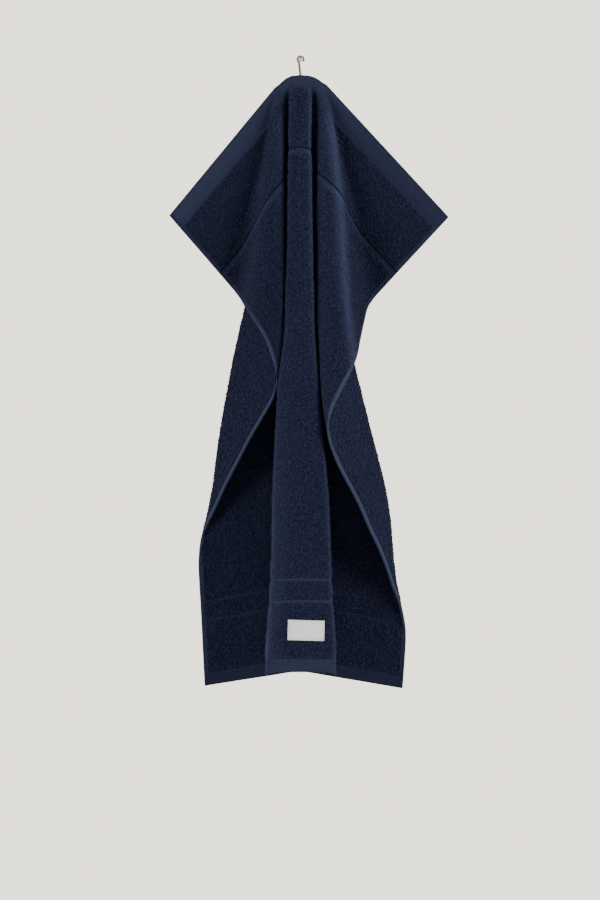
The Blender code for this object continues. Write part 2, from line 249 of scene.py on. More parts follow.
# %% Place of every fold on a row
WEIGHT_STRETCH = 1.009
TAUT_TOP = 0.975
TAUT_LOSS = 0.07
TAUT_SHOULDER = 0.985
BELLY = {"left": 0.021, "right": 0.004}
BELLY_FROM, BELLY_RUN = 450, 130
SLACK_FROM, SLACK_RUN = 420, 280
START_RUN = 25
EASE_RUN = 280
RIDGE_GAP = 4
SETTLING_ROUNDS = 12
FLAT_REACH = 300


def side_folds(side, v):
    """Cloth distance, place (sideways, outward, up) and ease of each ray of one side, at rows v.

    The height needs the ray's length, and the length needs the cloth distance, which is the sum
    of the ways between rays, each over how taut it is. A few rounds settle the two."""
    sign, _ = SIDES[side]
    wing = dict(zip(WING_COLUMNS, WINGS[side]))
    folds = []
    cloth_before, before = 0 * v, None
    for row in FOLDS[side]:
        fold = dict(zip(FOLD_COLUMNS, row))
        x = spline(v, LEVELS, fold["sideways"])
        out = spline(v, LEVELS, fold["outward"])
        edge_x, edge_z = edge_point(side, fold["start"])
        if before is None:
            before = np.array([0 * v, out + 1, -v])
        taut = (TAUT_TOP - TAUT_LOSS * v / LENGTH
                + BELLY[side] * smooth((v - BELLY_FROM) / BELLY_RUN))
        taut = TAUT_SHOULDER if fold["name"] == "shoulder" else taut
        cloth = cloth_before + 1.0
        for _ in range(SETTLING_ROUNDS):
            long = np.hypot(cloth - fold["start"], v) * WEIGHT_STRETCH
            long = long * (1 - fold["slack"] * smooth((v - SLACK_FROM) / SLACK_RUN))
            z = edge_z - np.sqrt(np.maximum(long ** 2 - (x - edge_x) ** 2
                                            - (out - HOOK_OUT) ** 2, 0))
            here = np.array([x, out, z])
            apart = np.sqrt(((here - before) ** 2).sum(axis=0))
            cloth = cloth_before + apart / taut
        cloth = fold["start"] + (cloth - fold["start"]) * smooth(v / START_RUN)
        ease = fold["ease_top"] + (fold["ease_low"] - fold["ease_top"]) * smooth(v / EASE_RUN)
        folds.append((cloth, sign * x, out, z, ease))
        cloth_before, before = cloth, here
    ridge = np.maximum(wing["ridge_start"] + wing["ridge_run"] * v, cloth_before + RIDGE_GAP)
    x, out, z = wing_point(side, ridge, v)
    folds.append((ridge, x, out, z, wing["ridge_ease"] + 0 * v))
    near_x, near_z = edge_point(side, ridge)
    far_x, far_z = edge_point(side, ridge + FLAT_REACH)
    folds.append((ridge + FLAT_REACH, x + sign * (far_x - near_x), out, z + far_z - near_z,
                  10.0 + 0 * v))
    return folds


lowest = side_folds("left", np.array([LENGTH]))
print("cloth from the middle to each left ray, lowest row:", [round(float(f[0][0])) for f in lowest])

# %% [markdown]
# ## From rays to a surface
#
# A section across the cloth is straight from ray to ray, and cloth this thick can't be creased, so
# each corner is softened by a parabola. The formula is a sum: it starts on the first straight part,
# and at every ray it adds the change of slope times a ramp that begins there. That works on whole
# grids at once, with no loop over the vertices.

# %% Surface of the hung cloth
HEM_DROP = -21.5
CROWN, CROWN_RUN = 1.5, 60
MIDDLE_EASE = 9.0
TOP_EASE, TOP_RUN = 3.0, 90


def fold_rows(v):
    """All rays of the rows v from the far left to the far right, with the hang line between."""
    left, right = side_folds("left", v), side_folds("right", v)
    folds = [(-cloth, x, out, z, ease) for cloth, x, out, z, ease in reversed(left)]
    out = (left[0][2] + right[0][2]) / 2 + CROWN * smooth(v / CROWN_RUN)
    long = v * WEIGHT_STRETCH
    up = -np.sqrt(np.maximum(long ** 2 - (out - HOOK_OUT) ** 2, 0))
    folds.append((0 * v, 0 * v, out, up, MIDDLE_EASE + 0 * v))
    return folds + right


def cloth_points(u, v):
    """Middle of the cloth at grids u (across) and v (down): rounded sections through the rays."""
    rows = v[:, 0]
    folds = fold_rows(rows)
    at = np.array([f[0] for f in folds])
    place = np.array([[f[1], f[2], f[3]] for f in folds])
    slopes = np.diff(place, axis=0) / np.diff(at, axis=0)[:, None, :]
    p = place[0][:, :, None] + slopes[0][:, :, None] * (u - at[0][:, None])[None]
    for k in range(1, len(folds) - 1):
        ease = (TOP_EASE + (folds[k][4] - TOP_EASE) * smooth(rows / TOP_RUN))[:, None]
        p = p + (slopes[k] - slopes[k - 1])[:, :, None] * ramp(u - at[k][:, None], ease)[None]
    return np.stack([p[0], -p[1], p[2] + HEM_DROP], axis=-1)


test_u, test_v = np.meshgrid(np.array([-LEFT_WIDTH, 0.0, RIGHT_WIDTH]), np.array([0.0, LENGTH]))
print("cloth corners, mm:", cloth_points(test_u, test_v).round().tolist())

# %% [markdown]
# ## Unevenness
#
# No towel hangs as evenly as a formula. Terry has lumps a few millimetres across where the loops
# lean, and the cloth itself is slack in soft waves. Both come from the same helper: random values
# on a coarse lattice, blended smoothly between its points, in the cloth's own coordinates, so
# that they belong to the cloth and follow its folds.

# %% Soft noise in cloth coordinates
LATTICE = 400


def soft_noise(u, v, size_u, size_v, seed):
    """Random lattice values every size_u by size_v millimetres, blended with the smooth ease."""
    table = np.random.default_rng(seed).uniform(-1, 1, (LATTICE, LATTICE))
    a, b = (u + 400) / size_u, (v + 40) / size_v
    i, j = np.floor(a).astype(int), np.floor(b).astype(int)
    s, t = smooth(a - i), smooth(b - j)
    left, right = i % LATTICE, (i + 1) % LATTICE
    above, below = j % LATTICE, (j + 1) % LATTICE
    top = table[above, left] * (1 - s) + table[above, right] * s
    low = table[below, left] * (1 - s) + table[below, right] * s
    return top * (1 - t) + low * t


print("noise sample:", round(float(soft_noise(np.array([10.0]), np.array([20.0]), 8, 8, 1)[0]), 3))

# %% [markdown]
# ## Where the loops are
#
# A terry towel is looped nearly all over and flat woven in a few places: the band along the top
# edge, the lower hem, the turned side hems, and three narrow lines that run right across. The top
# band is narrower at the hook and a little wider beside it. They could be separate strips of mesh,
# but one piece of cloth is woven through. So one function says how much pile there is anywhere, 1
# or 0 with a short ramp between, and the thickness, the tufts and the material all ask it.

# %% Bands, hems, lines and label on the flat cloth
TOP_BAND = 22.0
LOW_HEM = 16.0
SIDE_HEM = 5.0
LINES = (89.0, LENGTH - 107.0, LENGTH - 82.0)
LINE_WIDE = 2.6
LABEL_WIDTH = 43.5
LABEL_HEIGHT = 23.4
LABEL_MIDDLE = (6.5, 651.4)
LABEL_RIM = 0.6
BAND_NOTCH = 7
BAND_SWELL = 3


def from_edges(u, v):
    """Distance to the nearest side edge and to the nearest of the top and lower edges."""
    side = np.minimum(u + LEFT_WIDTH, RIGHT_WIDTH - u)
    ends = np.minimum(v, LENGTH - v)
    return side, ends


def pile_share(u, v):
    """1 on the looped pile, 0 on the flat weave: the product of one ramp for each band or line."""
    side, _ = from_edges(u, v)
    border = (TOP_BAND - BAND_NOTCH * np.exp(-((u / 9) ** 2))
              + BAND_SWELL * np.exp(-((np.abs(u) - 15) / 5) ** 2))
    share = smooth((v - border + 1.5) / 3) * smooth((LENGTH - LOW_HEM + 1.5 - v) / 3)
    share = share * smooth((side - SIDE_HEM + 1) / 2)
    for line in LINES:
        share = share * (1 - np.exp(-((v - line) / (LINE_WIDE / 2)) ** 4))
    return share


def under_label(u, v):
    """1 where the label covers the cloth, 0 from its rim outwards: a ramp across times one down."""
    across, down = np.abs(u - LABEL_MIDDLE[0]), np.abs(v - LABEL_MIDDLE[1])
    return (smooth((LABEL_WIDTH / 2 + LABEL_RIM - across) / (2 * LABEL_RIM))
            * smooth((LABEL_HEIGHT / 2 + LABEL_RIM - down) / (2 * LABEL_RIM)))


print("pile in the open and on the upper line:",
      [round(float(pile_share(np.array([0.0]), np.array([v]))[0]), 2) for v in (300.0, LINES[0])])

# %% [markdown]
# ## Cloth thickness
#
# Loops make the cloth thick and flat weave makes it thin. A hem is folded over and stitched, so it
# is a firm narrow roll. A Solidify modifier would give one thickness everywhere. Here one function
# gives half the thickness at any place, and it falls to nothing at the rim like the edge of a
# pillow, which closes the cloth. The pile swells between two flat lines and is pressed down under
# the label.

# %% Thickness of the cloth
PILE_HALF = 1.25
WOVEN_HALF = 0.9
PUFF = 0.45
SIDE_ROLL = 0.9
END_ROLL = 0.5
LABEL_PRESS = 0.45
RIM_ROUND = 1.6


def puffed(v):
    """0 beside a flat line or band, 1 from ten millimetres away: the pile swells between them."""
    away = np.minimum(v - TOP_BAND + 6, LENGTH - LOW_HEM - v)
    for line in LINES:
        away = np.minimum(away, np.abs(v - line))
    return smooth(away / 10)


def half_thickness(u, v):
    """Weave, hem roll, pile and lumps added up, times a quarter circle that ends at the rim."""
    side, ends = from_edges(u, v)
    pile = pile_share(u, v)
    roll = (SIDE_ROLL * np.exp(-((side - 2.2) / 2.0) ** 2)
            + END_ROLL * np.exp(-((ends - 2.5) / 2.2) ** 2))
    half = WOVEN_HALF + roll + (PILE_HALF - WOVEN_HALF) * pile + PUFF * pile * puffed(v)
    half = half + pile * (0.30 * soft_noise(u, v, 4.2, 4.6, 3) + 0.22 * soft_noise(u, v, 9, 8, 4))
    half = half - LABEL_PRESS * pile * under_label(u, v)
    rim = np.clip(np.minimum(side, ends) / RIM_ROUND, 0, 1)
    return half * np.sqrt(1 - (1 - rim) ** 2)


at_middle = half_thickness(np.array([[5.0]]), np.array([[300.0]]))
print("half thickness in the pile:", round(float(at_middle[0, 0]), 2))

# %% [markdown]
# ## Painted light on the folds and wings
#
# Pale strips of painted highlight run along the outer edges of the folds, painted shade darkens
# the wings where they hang flat, and a narrow painted highlight lies just below the upper line.
# Lights alone don't show this, because each loop is smaller than a triangle of the cloth. It is
# worked out along the folds in the cloth's own coordinates, not from the view, and later it is
# stored on the mesh for the material to read.

# %% Painted highlights on folds, painted shade on wings
LIGHT_LEVELS = (0, 120, 250, 400, 540, 700)
EVEN = np.ones(len(LIGHT_LEVELS))
# Each row: side, fold, reach of the painted highlight strip to both sides, strength at each level.
FOLD_LIGHT = (
    ("left", "shoulder", 5, (0.5, 0.3, 0.1, 0.2, 0.7, 1.0)),
    ("left", "shoulder", 17, (0.0, 0.0, 0.0, 0.25, 0.5, 0.6)),
    ("left", "lip", 14, 0.45 * EVEN),
    ("left", "crest", 20, 0.15 * EVEN),
    ("right", "shoulder", 5, (0.85, 0.8, 0.35, 0.3, 0.6, 0.9)),
    ("right", "lip", 12, 0.15 * EVEN),
    ("right", "crest", 11, 1.25 * EVEN),
)
FOLD_LIGHT_FROM, FOLD_LIGHT_RUN = 12, 30
WING_PAINTED_SHADE = 0.28
WING_FROM, WING_RUN = 15, 30
WING_END, WING_FADE = 260, 60
UNDER_LINE_HIGHLIGHT, UNDER_LINE_DOWN, UNDER_LINE_WIDE = 0.7, 4.5, 2.2
ALONG = np.linspace(0, LENGTH, 351)
AT_FOLD = {(side, row[0]): sign * fold[0] for side, (sign, _) in SIDES.items()
           for row, fold in zip(FOLDS[side], side_folds(side, ALONG))}


def painted_light_and_shade(u, v):
    """Painted light: a bell curve of painted highlight across each fold times its strength at that
    level, less painted shade on the upper wings, plus a narrow painted highlight just below the
    upper line."""
    total = 0 * u
    for side, fold, wide, strengths in FOLD_LIGHT:
        away = u - np.interp(v, ALONG, AT_FOLD[side, fold])
        total = total + np.interp(v, LIGHT_LEVELS, strengths) * np.exp(-((away / wide) ** 2))
    total = total * smooth((v - FOLD_LIGHT_FROM) / FOLD_LIGHT_RUN)
    crest = np.where(u < 0, -np.interp(v, ALONG, AT_FOLD["left", "crest"]),
                     np.interp(v, ALONG, AT_FOLD["right", "crest"]))
    on_wing = smooth((np.abs(u) - crest - WING_FROM) / WING_RUN)
    # Painted shade on the upper wings, where they hang flat.
    total = total - WING_PAINTED_SHADE * on_wing * smooth((WING_END - v) / WING_FADE)
    # Painted highlight on the swelling just below the upper line.
    below_line = (v - LINES[0] - UNDER_LINE_DOWN) / UNDER_LINE_WIDE
    return total + UNDER_LINE_HIGHLIGHT * np.exp(-(below_line ** 2))


print("folds followed:", len(AT_FOLD), "pale strips:", len(FOLD_LIGHT))

# %% [markdown]
# ## Painted light on the hems and painted shade in the groove
#
# Where there is no pile the bare weave shows. It is smooth, and painted highlight makes it paler
# where it turns up, as on the side hems halfway down and on the centre fold's lower lines and hem.
# The lower hem lies in painted shade. The upper line lies deep between two swellings of pile, so
# painted shade makes its groove darkest of all. A painted texture image could hold this, but two
# functions of the cloth's coordinates are exact at any size.

# %% Groove and hems
# Painted highlight down each side hem, read at these levels.
HEM_LEVELS = (0, 150, 200, 270, 480, 530, 600, 640, 700)
HEM_LIGHT = {"left": (0.15, 0.25, 0.75, 1.0, 1.0, 0.6, 0.35, 0.30, 0.25),
             "right": (0.25, 0.30, 0.40, 0.9, 1.0, 1.0, 0.8, 0.35, 0.20)}
GROOVE_UP, GROOVE_WIDE = 0.4, 1.6
# Top band tone, paler along the top edge and darker on the right wing.
TOP_LIGHT, TOP_RIM_LIGHT, TOP_RIGHT_LOSS = 0.28, 0.12, 0.14
# The lower hem in painted shade.
LOWER_LIGHT = 0.20
# The centre fold, whose lower weave gets painted highlight.
MIDDLE_HALF = 62


def seam_shade(u, v):
    """Painted shade: 1 in the groove of the upper line, whose weave lies deep between the pile,
    else 0.
    """
    return np.exp(-(((v - LINES[0] + GROOVE_UP) / GROOVE_WIDE) ** 2))


def weave_tone_and_painted_light(u, v):
    """How pale the flat weave looks, 0 to 1, with painted light: the top band and the lower hem, the
    lower hem in painted shade and the centre fold's lower weave with painted highlight, and over them
    the side hems, whose painted highlight down each side is read from HEM_LIGHT."""
    side, _ = from_edges(u, v)
    lower = smooth((v - LENGTH + LOW_HEM + 6) / 4)
    middle = smooth((MIDDLE_HALF - np.abs(u)) / 10)
    top = (TOP_LIGHT + TOP_RIM_LIGHT * np.exp(-((v - 8) / 8) ** 2)
           - TOP_RIGHT_LOSS * (u > 0) * smooth((u - 60) / 60))
    # Painted highlight on the centre fold's lower weave.
    top = top + 0.30 * middle * smooth((v - 560) / 20)
    flat = top + lower * (LOWER_LIGHT + 0.18 * middle - top)
    along = np.where(u < 0, np.interp(v, HEM_LEVELS, HEM_LIGHT["left"]),
                     np.interp(v, HEM_LEVELS, HEM_LIGHT["right"]))
    at_side = smooth((SIDE_HEM + 0.5 - side) / 1.0)
    return flat + (along - flat) * at_side


print("hem light halfway down:", float(weave_tone_and_painted_light(-LEFT_WIDTH + 1, LENGTH / 2)))

# %% [markdown]
# ## Slack and sag
#
# Between its folds the real cloth isn't drawn tight. It bulges in broad soft waves, its free hems
# ripple, and the lower corners of the centre fold sag where the hem turns over. A Displace
# modifier could move the finished mesh. Moving the middle surface along its own normal before the
# thickness is added is better, because front and back then stay the right distance apart.

# %% Waves, sag and the middle surface
BROAD_WAVE, FINE_WAVE, HEM_RIPPLE = 1.5, 0.8, 0.8
CALM, CALM_RUN = 60, 160
DROOP, DROOP_ROWS, DROOP_WIDE = 3.6, 26, 5
CORNERS = [sign * float(side_folds(side, np.array([LENGTH]))[0][0][0])
           for side, (sign, _) in SIDES.items()]


def waves(u, v):
    """Slack along the normal: broad and fine waves and the ripples of the hems, each from soft
    noise, added up and eased in with the distance from the hook."""
    side, _ = from_edges(u, v)
    far = smooth((np.hypot(u, v) - CALM) / CALM_RUN)
    broad = BROAD_WAVE * soft_noise(u, v, 70, 120, 11) + FINE_WAVE * soft_noise(u, v, 34, 60, 12)
    hem = HEM_RIPPLE * soft_noise(u, v, 400, 26, 13) * np.exp(-(side / 12) ** 2)
    low = HEM_RIPPLE * soft_noise(u, v, 22, 400, 14) * np.exp(-((LENGTH - v) / 25) ** 2)
    return far * (broad + hem + low)


def droop(u, v):
    """How far the cloth sags: a bell round each lower corner times an ease over the last rows."""
    sag = sum(np.exp(-(((u - corner) / DROOP_WIDE) ** 2)) for corner in CORNERS)
    return DROOP * sag * smooth((v - LENGTH + DROOP_ROWS) / DROOP_ROWS) ** 2


def surface(u, v):
    """Middle points of the slack cloth and its unit normals, the cross product of its two slopes."""
    middle = cloth_points(u, v)
    middle[..., 2] -= droop(u, v)
    for move in (waves(u, v), None):
        across, down = np.gradient(middle, axis=1), np.gradient(middle, axis=0)
        normal = np.cross(down, across)
        normal /= np.linalg.norm(normal, axis=-1, keepdims=True)
        if move is not None:
            middle = middle + normal * move[..., None]
    return middle, normal


print("corners of the centre fold, mm of cloth:", [round(c, 1) for c in CORNERS])

# %% [markdown]
# ## From arrays to a mesh
#
# Blender takes points and faces as they are. These helpers turn a grid of points into quads, give
# each vertex its place on the flat cloth as a UV map, and store plain numbers on the vertices. A
# sheet could be two loose surfaces, but then light would leak in at the hem. Here the front and
# the back grid share their rim, so a sheet is one closed body.

# %% Mesh helpers
def mesh_object(name, points, faces):
    """New object at the origin from points in metres and faces, shaded smooth."""
    mesh = bpy.data.meshes.new(name)
    mesh.from_pydata(points.tolist(), [], faces.tolist() if hasattr(faces, "tolist") else faces)
    mesh.polygons.foreach_set("use_smooth", np.ones(len(mesh.polygons), dtype=bool))
    obj = bpy.data.objects.new(name, mesh)
    bpy.context.collection.objects.link(obj)
    return obj


def grid_faces(index):
    """Quads between the neighbours of a grid of vertex numbers."""
    corners = [index[:-1, :-1], index[1:, :-1], index[1:, 1:], index[:-1, 1:]]
    return np.stack(corners, -1).reshape(-1, 4)


def surface_uv(obj, name, u, v):
    """UV map in metres of flat cloth, from each vertex's u and v."""
    layer = obj.data.uv_layers.new(name=name)
    corner = np.empty(len(obj.data.loops), dtype=np.int32)
    obj.data.loops.foreach_get("vertex_index", corner)
    layer.data.foreach_set("uv", (np.stack([u, v], -1)[corner] * MM).ravel())


def vertex_value(obj, name, values):
    """Store one number per vertex, for the material to read."""
    layer = obj.data.attributes.new(name, "FLOAT", "POINT")
    layer.data.foreach_set("value", np.asarray(values, dtype=np.float32))


def closed_sheet(name, front, back, u, v, uv_name):
    """Front and back grids joined at their shared rim, with a UV map, and each vertex's u and v."""
    index = np.arange(u.size).reshape(u.shape)
    inner = np.zeros(u.shape, bool)
    inner[1:-1, 1:-1] = True
    behind = index.copy()
    behind[inner] = u.size + np.arange(inner.sum())
    points = np.concatenate([front.reshape(-1, 3), back[inner]]) * MM
    faces = np.concatenate([grid_faces(index), grid_faces(behind)[:, ::-1]])
    obj = mesh_object(name, points, faces)
    all_u, all_v = (np.concatenate([a.ravel(), a[inner]]) for a in (u, v))
    surface_uv(obj, uv_name, all_u, all_v)
    return obj, all_u, all_v


print("quads of a small grid:", grid_faces(np.arange(12).reshape(3, 4)).shape[0])

# %% [markdown]
# ## The cloth
#
# The real cloth is one piece, so it is one mesh. An even grid fine enough for the narrow lines
# would be far too heavy. This grid packs its rows and columns closer where the bands, lines and
# hems are, so that their steps stay crisp, and stays wide elsewhere. The front and back are the
# middle surface moved both ways along its normal.

# %% Build the cloth
COLUMNS = 196
ROWS = 246


def spread(low, high, count, places, wide, pull):
    """count values from low to high, spaced evenly in the running sum of 1 plus bells at places."""
    fine = np.linspace(low, high, 6000)
    crowd = np.ones_like(fine)
    for place in places:
        crowd = crowd + pull * np.exp(-((fine - place) / wide) ** 2)
    total = np.concatenate([[0], np.cumsum((crowd[1:] + crowd[:-1]) / 2)])
    return np.interp(np.linspace(0, 1, count), total / total[-1], fine)


def build_cloth():
    """Middle plus and minus its normal times half the thickness, with four stored numbers."""
    side_places = (-LEFT_WIDTH, -LEFT_WIDTH + SIDE_HEM, RIGHT_WIDTH - SIDE_HEM, RIGHT_WIDTH)
    down_places = (0, TOP_BAND, *LINES, LENGTH - LOW_HEM, LENGTH)
    u, v = np.meshgrid(spread(-LEFT_WIDTH, RIGHT_WIDTH, COLUMNS, side_places, 1.6, 3.0),
                       spread(0, LENGTH, ROWS, down_places, 2.2, 2.2))
    middle, normal = surface(u, v)
    swell = normal * half_thickness(u, v)[..., None]
    obj, all_u, all_v = closed_sheet("towel_cloth", middle + swell, middle - swell, u, v, "cloth")
    on_front = np.arange(all_u.size) < u.size
    vertex_value(obj, "pile", pile_share(all_u, all_v))
    # Painted highlight and painted shade from the fold table, on the front only.
    vertex_value(obj, "painted_light", painted_light_and_shade(all_u, all_v) * on_front)
    # Painted shade for the groove of the upper line.
    vertex_value(obj, "groove", seam_shade(all_u, all_v))
    vertex_value(obj, "hem", weave_tone_and_painted_light(all_u, all_v))
    return obj


cloth = build_cloth()
print("cloth triangles:", 2 * len(cloth.data.polygons))

# %% [markdown]
# ## Materials from nodes
#
# A finish is a small graph: textures and stored numbers feed the Principled shader. It could be
# wired by hand in the shader editor, but a script gives the same finish each time. Written out
# node by node it is long, so these helpers make a material, a node with its values, a blend of two
# colours, a sum or product, and a bump. What is the same all over goes on the shader's own sockets.

# %% Node helpers
def new_material(name, colour, roughness, metallic=0.0):
    """A material whose Principled shader has this even colour, roughness and metal share."""
    mat = bpy.data.materials.new(name)
    mat.use_nodes = True
    nodes, links = mat.node_tree.nodes, mat.node_tree.links
    shader = nodes["Principled BSDF"]
    shader.inputs["Base Color"].default_value = (*colour, 1)
    shader.inputs["Roughness"].default_value = roughness
    shader.inputs["Metallic"].default_value = metallic
    mat.diffuse_color = (*colour, 1)
    return mat, nodes, links, shader


def node(nodes, kind, settings=(), **inputs):
    """A node with its settings and input values set."""
    made = nodes.new(kind)
    for key, value in dict(settings).items():
        setattr(made, key, value)
    for key, value in inputs.items():
        made.inputs[key.replace("_", " ")].default_value = value
    return made


def stored(nodes, name):
    """Socket with the number that the mesh stores under this name."""
    return node(nodes, "ShaderNodeAttribute", {"attribute_name": name}).outputs["Fac"]


print("materials before dressing:", len(bpy.data.materials))

# %% Blends, sums and bumps
def mix_colour(nodes, links, factor, low, high):
    """Blend of two colours or colour sockets by a factor socket: low at 0 and high at 1."""
    made = node(nodes, "ShaderNodeMix", {"data_type": "RGBA"})
    for socket, value in ((made.inputs[0], factor), (made.inputs[6], low), (made.inputs[7], high)):
        if isinstance(value, bpy.types.NodeSocket):
            links.new(value, socket)
        else:
            socket.default_value = (*value, 1)
    return made.outputs[2]


def math_node(nodes, links, operation, *values):
    """The named operation on two or three numbers or sockets."""
    made = node(nodes, "ShaderNodeMath", {"operation": operation})
    for socket, value in zip(made.inputs, values):
        if isinstance(value, bpy.types.NodeSocket):
            links.new(value, socket)
        else:
            socket.default_value = value
    return made.outputs[0]


def add_bump(nodes, links, shader, height, strength, distance):
    """Tilt the shader's normal by a height socket, whose full step is distance metres."""
    bump = node(nodes, "ShaderNodeBump", Strength=strength, Distance=distance)
    links.new(height, bump.inputs["Height"])
    links.new(bump.outputs["Normal"], shader.inputs["Normal"])


print("helpers ready: blend, sum or product, bump")

# %% [markdown]
# ## Terry material
#
# Terry is thousands of small cotton loops. They catch light on their sides, so the cloth is
# darkest seen head on and paler where it curves away: that is sheen. Loops lean this way and
# that, which mottles the colour. Cells the size of a loop, noise the size of a clump and broad
# noise give that, on the cloth's own UV map in metres, so the loops keep their size and follow the
# folds. Then the four stored numbers come in. A positive painted light value mixes in a pale
# painted highlight and a negative one painted shade. Where pile is 0 the weave shows, as pale as
# hem says, its own tone with painted light, and painted shade darkens the groove.

# %% Loops and clumps
NAVY = (0.0166, 0.0206, 0.0535)
# Darkest navy: painted shade between the loops, on the flat wings and in the groove.
NAVY_PAINTED_SHADE = (0.0032, 0.0045, 0.0125)
NAVY_WOVEN = (0.0225, 0.0255, 0.0580)
NAVY_DULL = (0.0105, 0.0125, 0.0300)
# Pale navy of painted highlight along the fold edges.
NAVY_PAINTED_HIGHLIGHT = (0.0480, 0.0580, 0.1180)
# Pale weave colour: the weave's own tone with painted highlight on the hems.
NAVY_WEAVE_TONE_AND_HIGHLIGHT = (0.0400, 0.0490, 0.0930)
LOOPS_PER_METRE = 560.0
CLUMPS_PER_METRE = 250.0
PATCHES_PER_METRE = 22.0


def loops_and_clumps(nodes, links):
    """The light on the loops: 1.15 less 1.1 times the way from a loop's heart, times 4.4 clumps less
    1.25. Then the clumps and the broad patches themselves."""
    loops = node(nodes, "ShaderNodeTexVoronoi", {"feature": "F1"}, Scale=LOOPS_PER_METRE,
                 Randomness=0.85)
    clumps = node(nodes, "ShaderNodeTexNoise", Scale=CLUMPS_PER_METRE, Detail=2.0, Roughness=0.5)
    broad = node(nodes, "ShaderNodeTexNoise", Scale=PATCHES_PER_METRE, Detail=2.0)
    uv = node(nodes, "ShaderNodeUVMap", {"uv_map": "cloth"}).outputs["UV"]
    for texture in (loops, clumps, broad):
        links.new(uv, texture.inputs["Vector"])
    edge = math_node(nodes, links, "MULTIPLY", loops.outputs["Distance"], 1.1)
    heart = math_node(nodes, links, "SUBTRACT", 1.15, edge)
    patchy = math_node(nodes, links, "MULTIPLY_ADD", clumps.outputs["Fac"], 4.4, -1.25)
    lit = math_node(nodes, links, "MULTIPLY", heart, patchy)
    return lit, clumps.outputs["Fac"], broad.outputs["Fac"]


print("width of a loop cell, mm:", round(1000 / LOOPS_PER_METRE, 2))

# %% Colours of pile and weave
def pile_colour(nodes, links, lit, broad):
    """Dark to navy by the light on the loops, a little woven navy in patches, then painted highlight
    or painted shade by the stored painted light.
    """
    colour = mix_colour(nodes, links, lit, NAVY_PAINTED_SHADE, NAVY)
    worn = math_node(nodes, links, "MULTIPLY", broad, 0.35)
    colour = mix_colour(nodes, links, worn, colour, NAVY_WOVEN)
    painted_amount = stored(nodes, "painted_light")
    # pale is the painted highlight and closed the painted shade, both from the stored painted light.
    pale = math_node(nodes, links, "MULTIPLY", painted_amount, 0.6)
    closed = math_node(nodes, links, "MULTIPLY", painted_amount, -1.0)
    colour = mix_colour(nodes, links, pale, colour, NAVY_PAINTED_HIGHLIGHT)
    return mix_colour(nodes, links, closed, colour, NAVY_PAINTED_SHADE)


def weave_colour(nodes, links, clumps):
    """Dull to pale navy by hem times the mottling, for the weave's tone with painted light, and
    painted shade in the groove.
    """
    mottled = math_node(nodes, links, "MULTIPLY_ADD", clumps, 1.0, 0.5)
    paleness = math_node(nodes, links, "MULTIPLY", stored(nodes, "hem"), mottled)
    woven = mix_colour(nodes, links, paleness, NAVY_DULL, NAVY_WEAVE_TONE_AND_HIGHLIGHT)
    return mix_colour(nodes, links, stored(nodes, "groove"), woven, NAVY_PAINTED_SHADE)


print("pale navy over dark navy:", [round(a / b, 1) for a, b in zip(NAVY_PAINTED_HIGHLIGHT, NAVY_PAINTED_SHADE)])

# %% Terry material
COTTON_ROUGHNESS = 0.95
COTTON_GLOSS = 0.04
SHEEN, SHEEN_ROUGHNESS, SHEEN_TINT = 0.14, 0.45, (0.58, 0.64, 1.0)
LOOP_HEIGHT = 0.0016


def terry_material():
    """Weave and pile colours mixed by the pile share, with bump on the pile and a bluish sheen."""
    mat, nodes, links, shader = new_material("navy_terry", NAVY, COTTON_ROUGHNESS)
    lit, clumps, broad = loops_and_clumps(nodes, links)
    pile = stored(nodes, "pile")
    colour = mix_colour(nodes, links, pile, weave_colour(nodes, links, clumps),
                        pile_colour(nodes, links, lit, broad))
    links.new(colour, shader.inputs["Base Color"])
    height = math_node(nodes, links, "MULTIPLY", lit, pile)
    add_bump(nodes, links, shader, height, strength=0.9, distance=LOOP_HEIGHT)
    shader.inputs["Sheen Weight"].default_value = SHEEN
    shader.inputs["Sheen Roughness"].default_value = SHEEN_ROUGHNESS
    shader.inputs["Sheen Tint"].default_value = (*SHEEN_TINT, 1)
    shader.inputs["Specular IOR Level"].default_value = COTTON_GLOSS
    return mat


TERRY = terry_material()
cloth.data.materials.append(TERRY)
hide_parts("towel")
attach(cloth, "root")
print("terry nodes:", len(TERRY.node_tree.nodes))

# %% [markdown]
# ## Reading the hung cloth at any place
#
# The label, the stitches and the pile all lie on the hung cloth, at places that aren't on its grid.
# They could be projected onto the mesh, but a deep fold has cloth behind cloth, and a ray may hit
# the wrong layer. The cloth's own coordinates can't be mistaken. So its middle surface is worked
# out once on a grid of a millimetre, and read off between that grid's points.

# %% Places on the hung cloth
FINE_U = np.linspace(-LEFT_WIDTH, RIGHT_WIDTH, 501)
FINE_V = np.linspace(0, LENGTH, 701)
FINE = surface(*np.meshgrid(FINE_U, FINE_V))[0]
SLOPE_STEP = 0.5


def front_middle(u, v):
    """Middle of the cloth at u and v: a weighted mean of the four nearest points of the grid."""
    a = (u - FINE_U[0]) / (FINE_U[1] - FINE_U[0])
    b = (v - FINE_V[0]) / (FINE_V[1] - FINE_V[0])
    i = np.clip(np.floor(a).astype(int), 0, len(FINE_U) - 2)
    j = np.clip(np.floor(b).astype(int), 0, len(FINE_V) - 2)
    s, t = (a - i)[..., None], (b - j)[..., None]
    return ((FINE[j, i] * (1 - s) + FINE[j, i + 1] * s) * (1 - t)
            + (FINE[j + 1, i] * (1 - s) + FINE[j + 1, i + 1] * s) * t)


def over_cloth(u, v, lift):
    """Points that far in front of the cloth's middle, and the normals there."""
    here = front_middle(u, v)
    across = front_middle(u + SLOPE_STEP, v) - here
    down = front_middle(u, v + SLOPE_STEP) - here
    normal = np.cross(down, across)
    normal /= np.linalg.norm(normal, axis=-1, keepdims=True)
    return here + normal * np.asarray(lift)[..., None], normal


print("grid of places:", FINE.shape[:2])

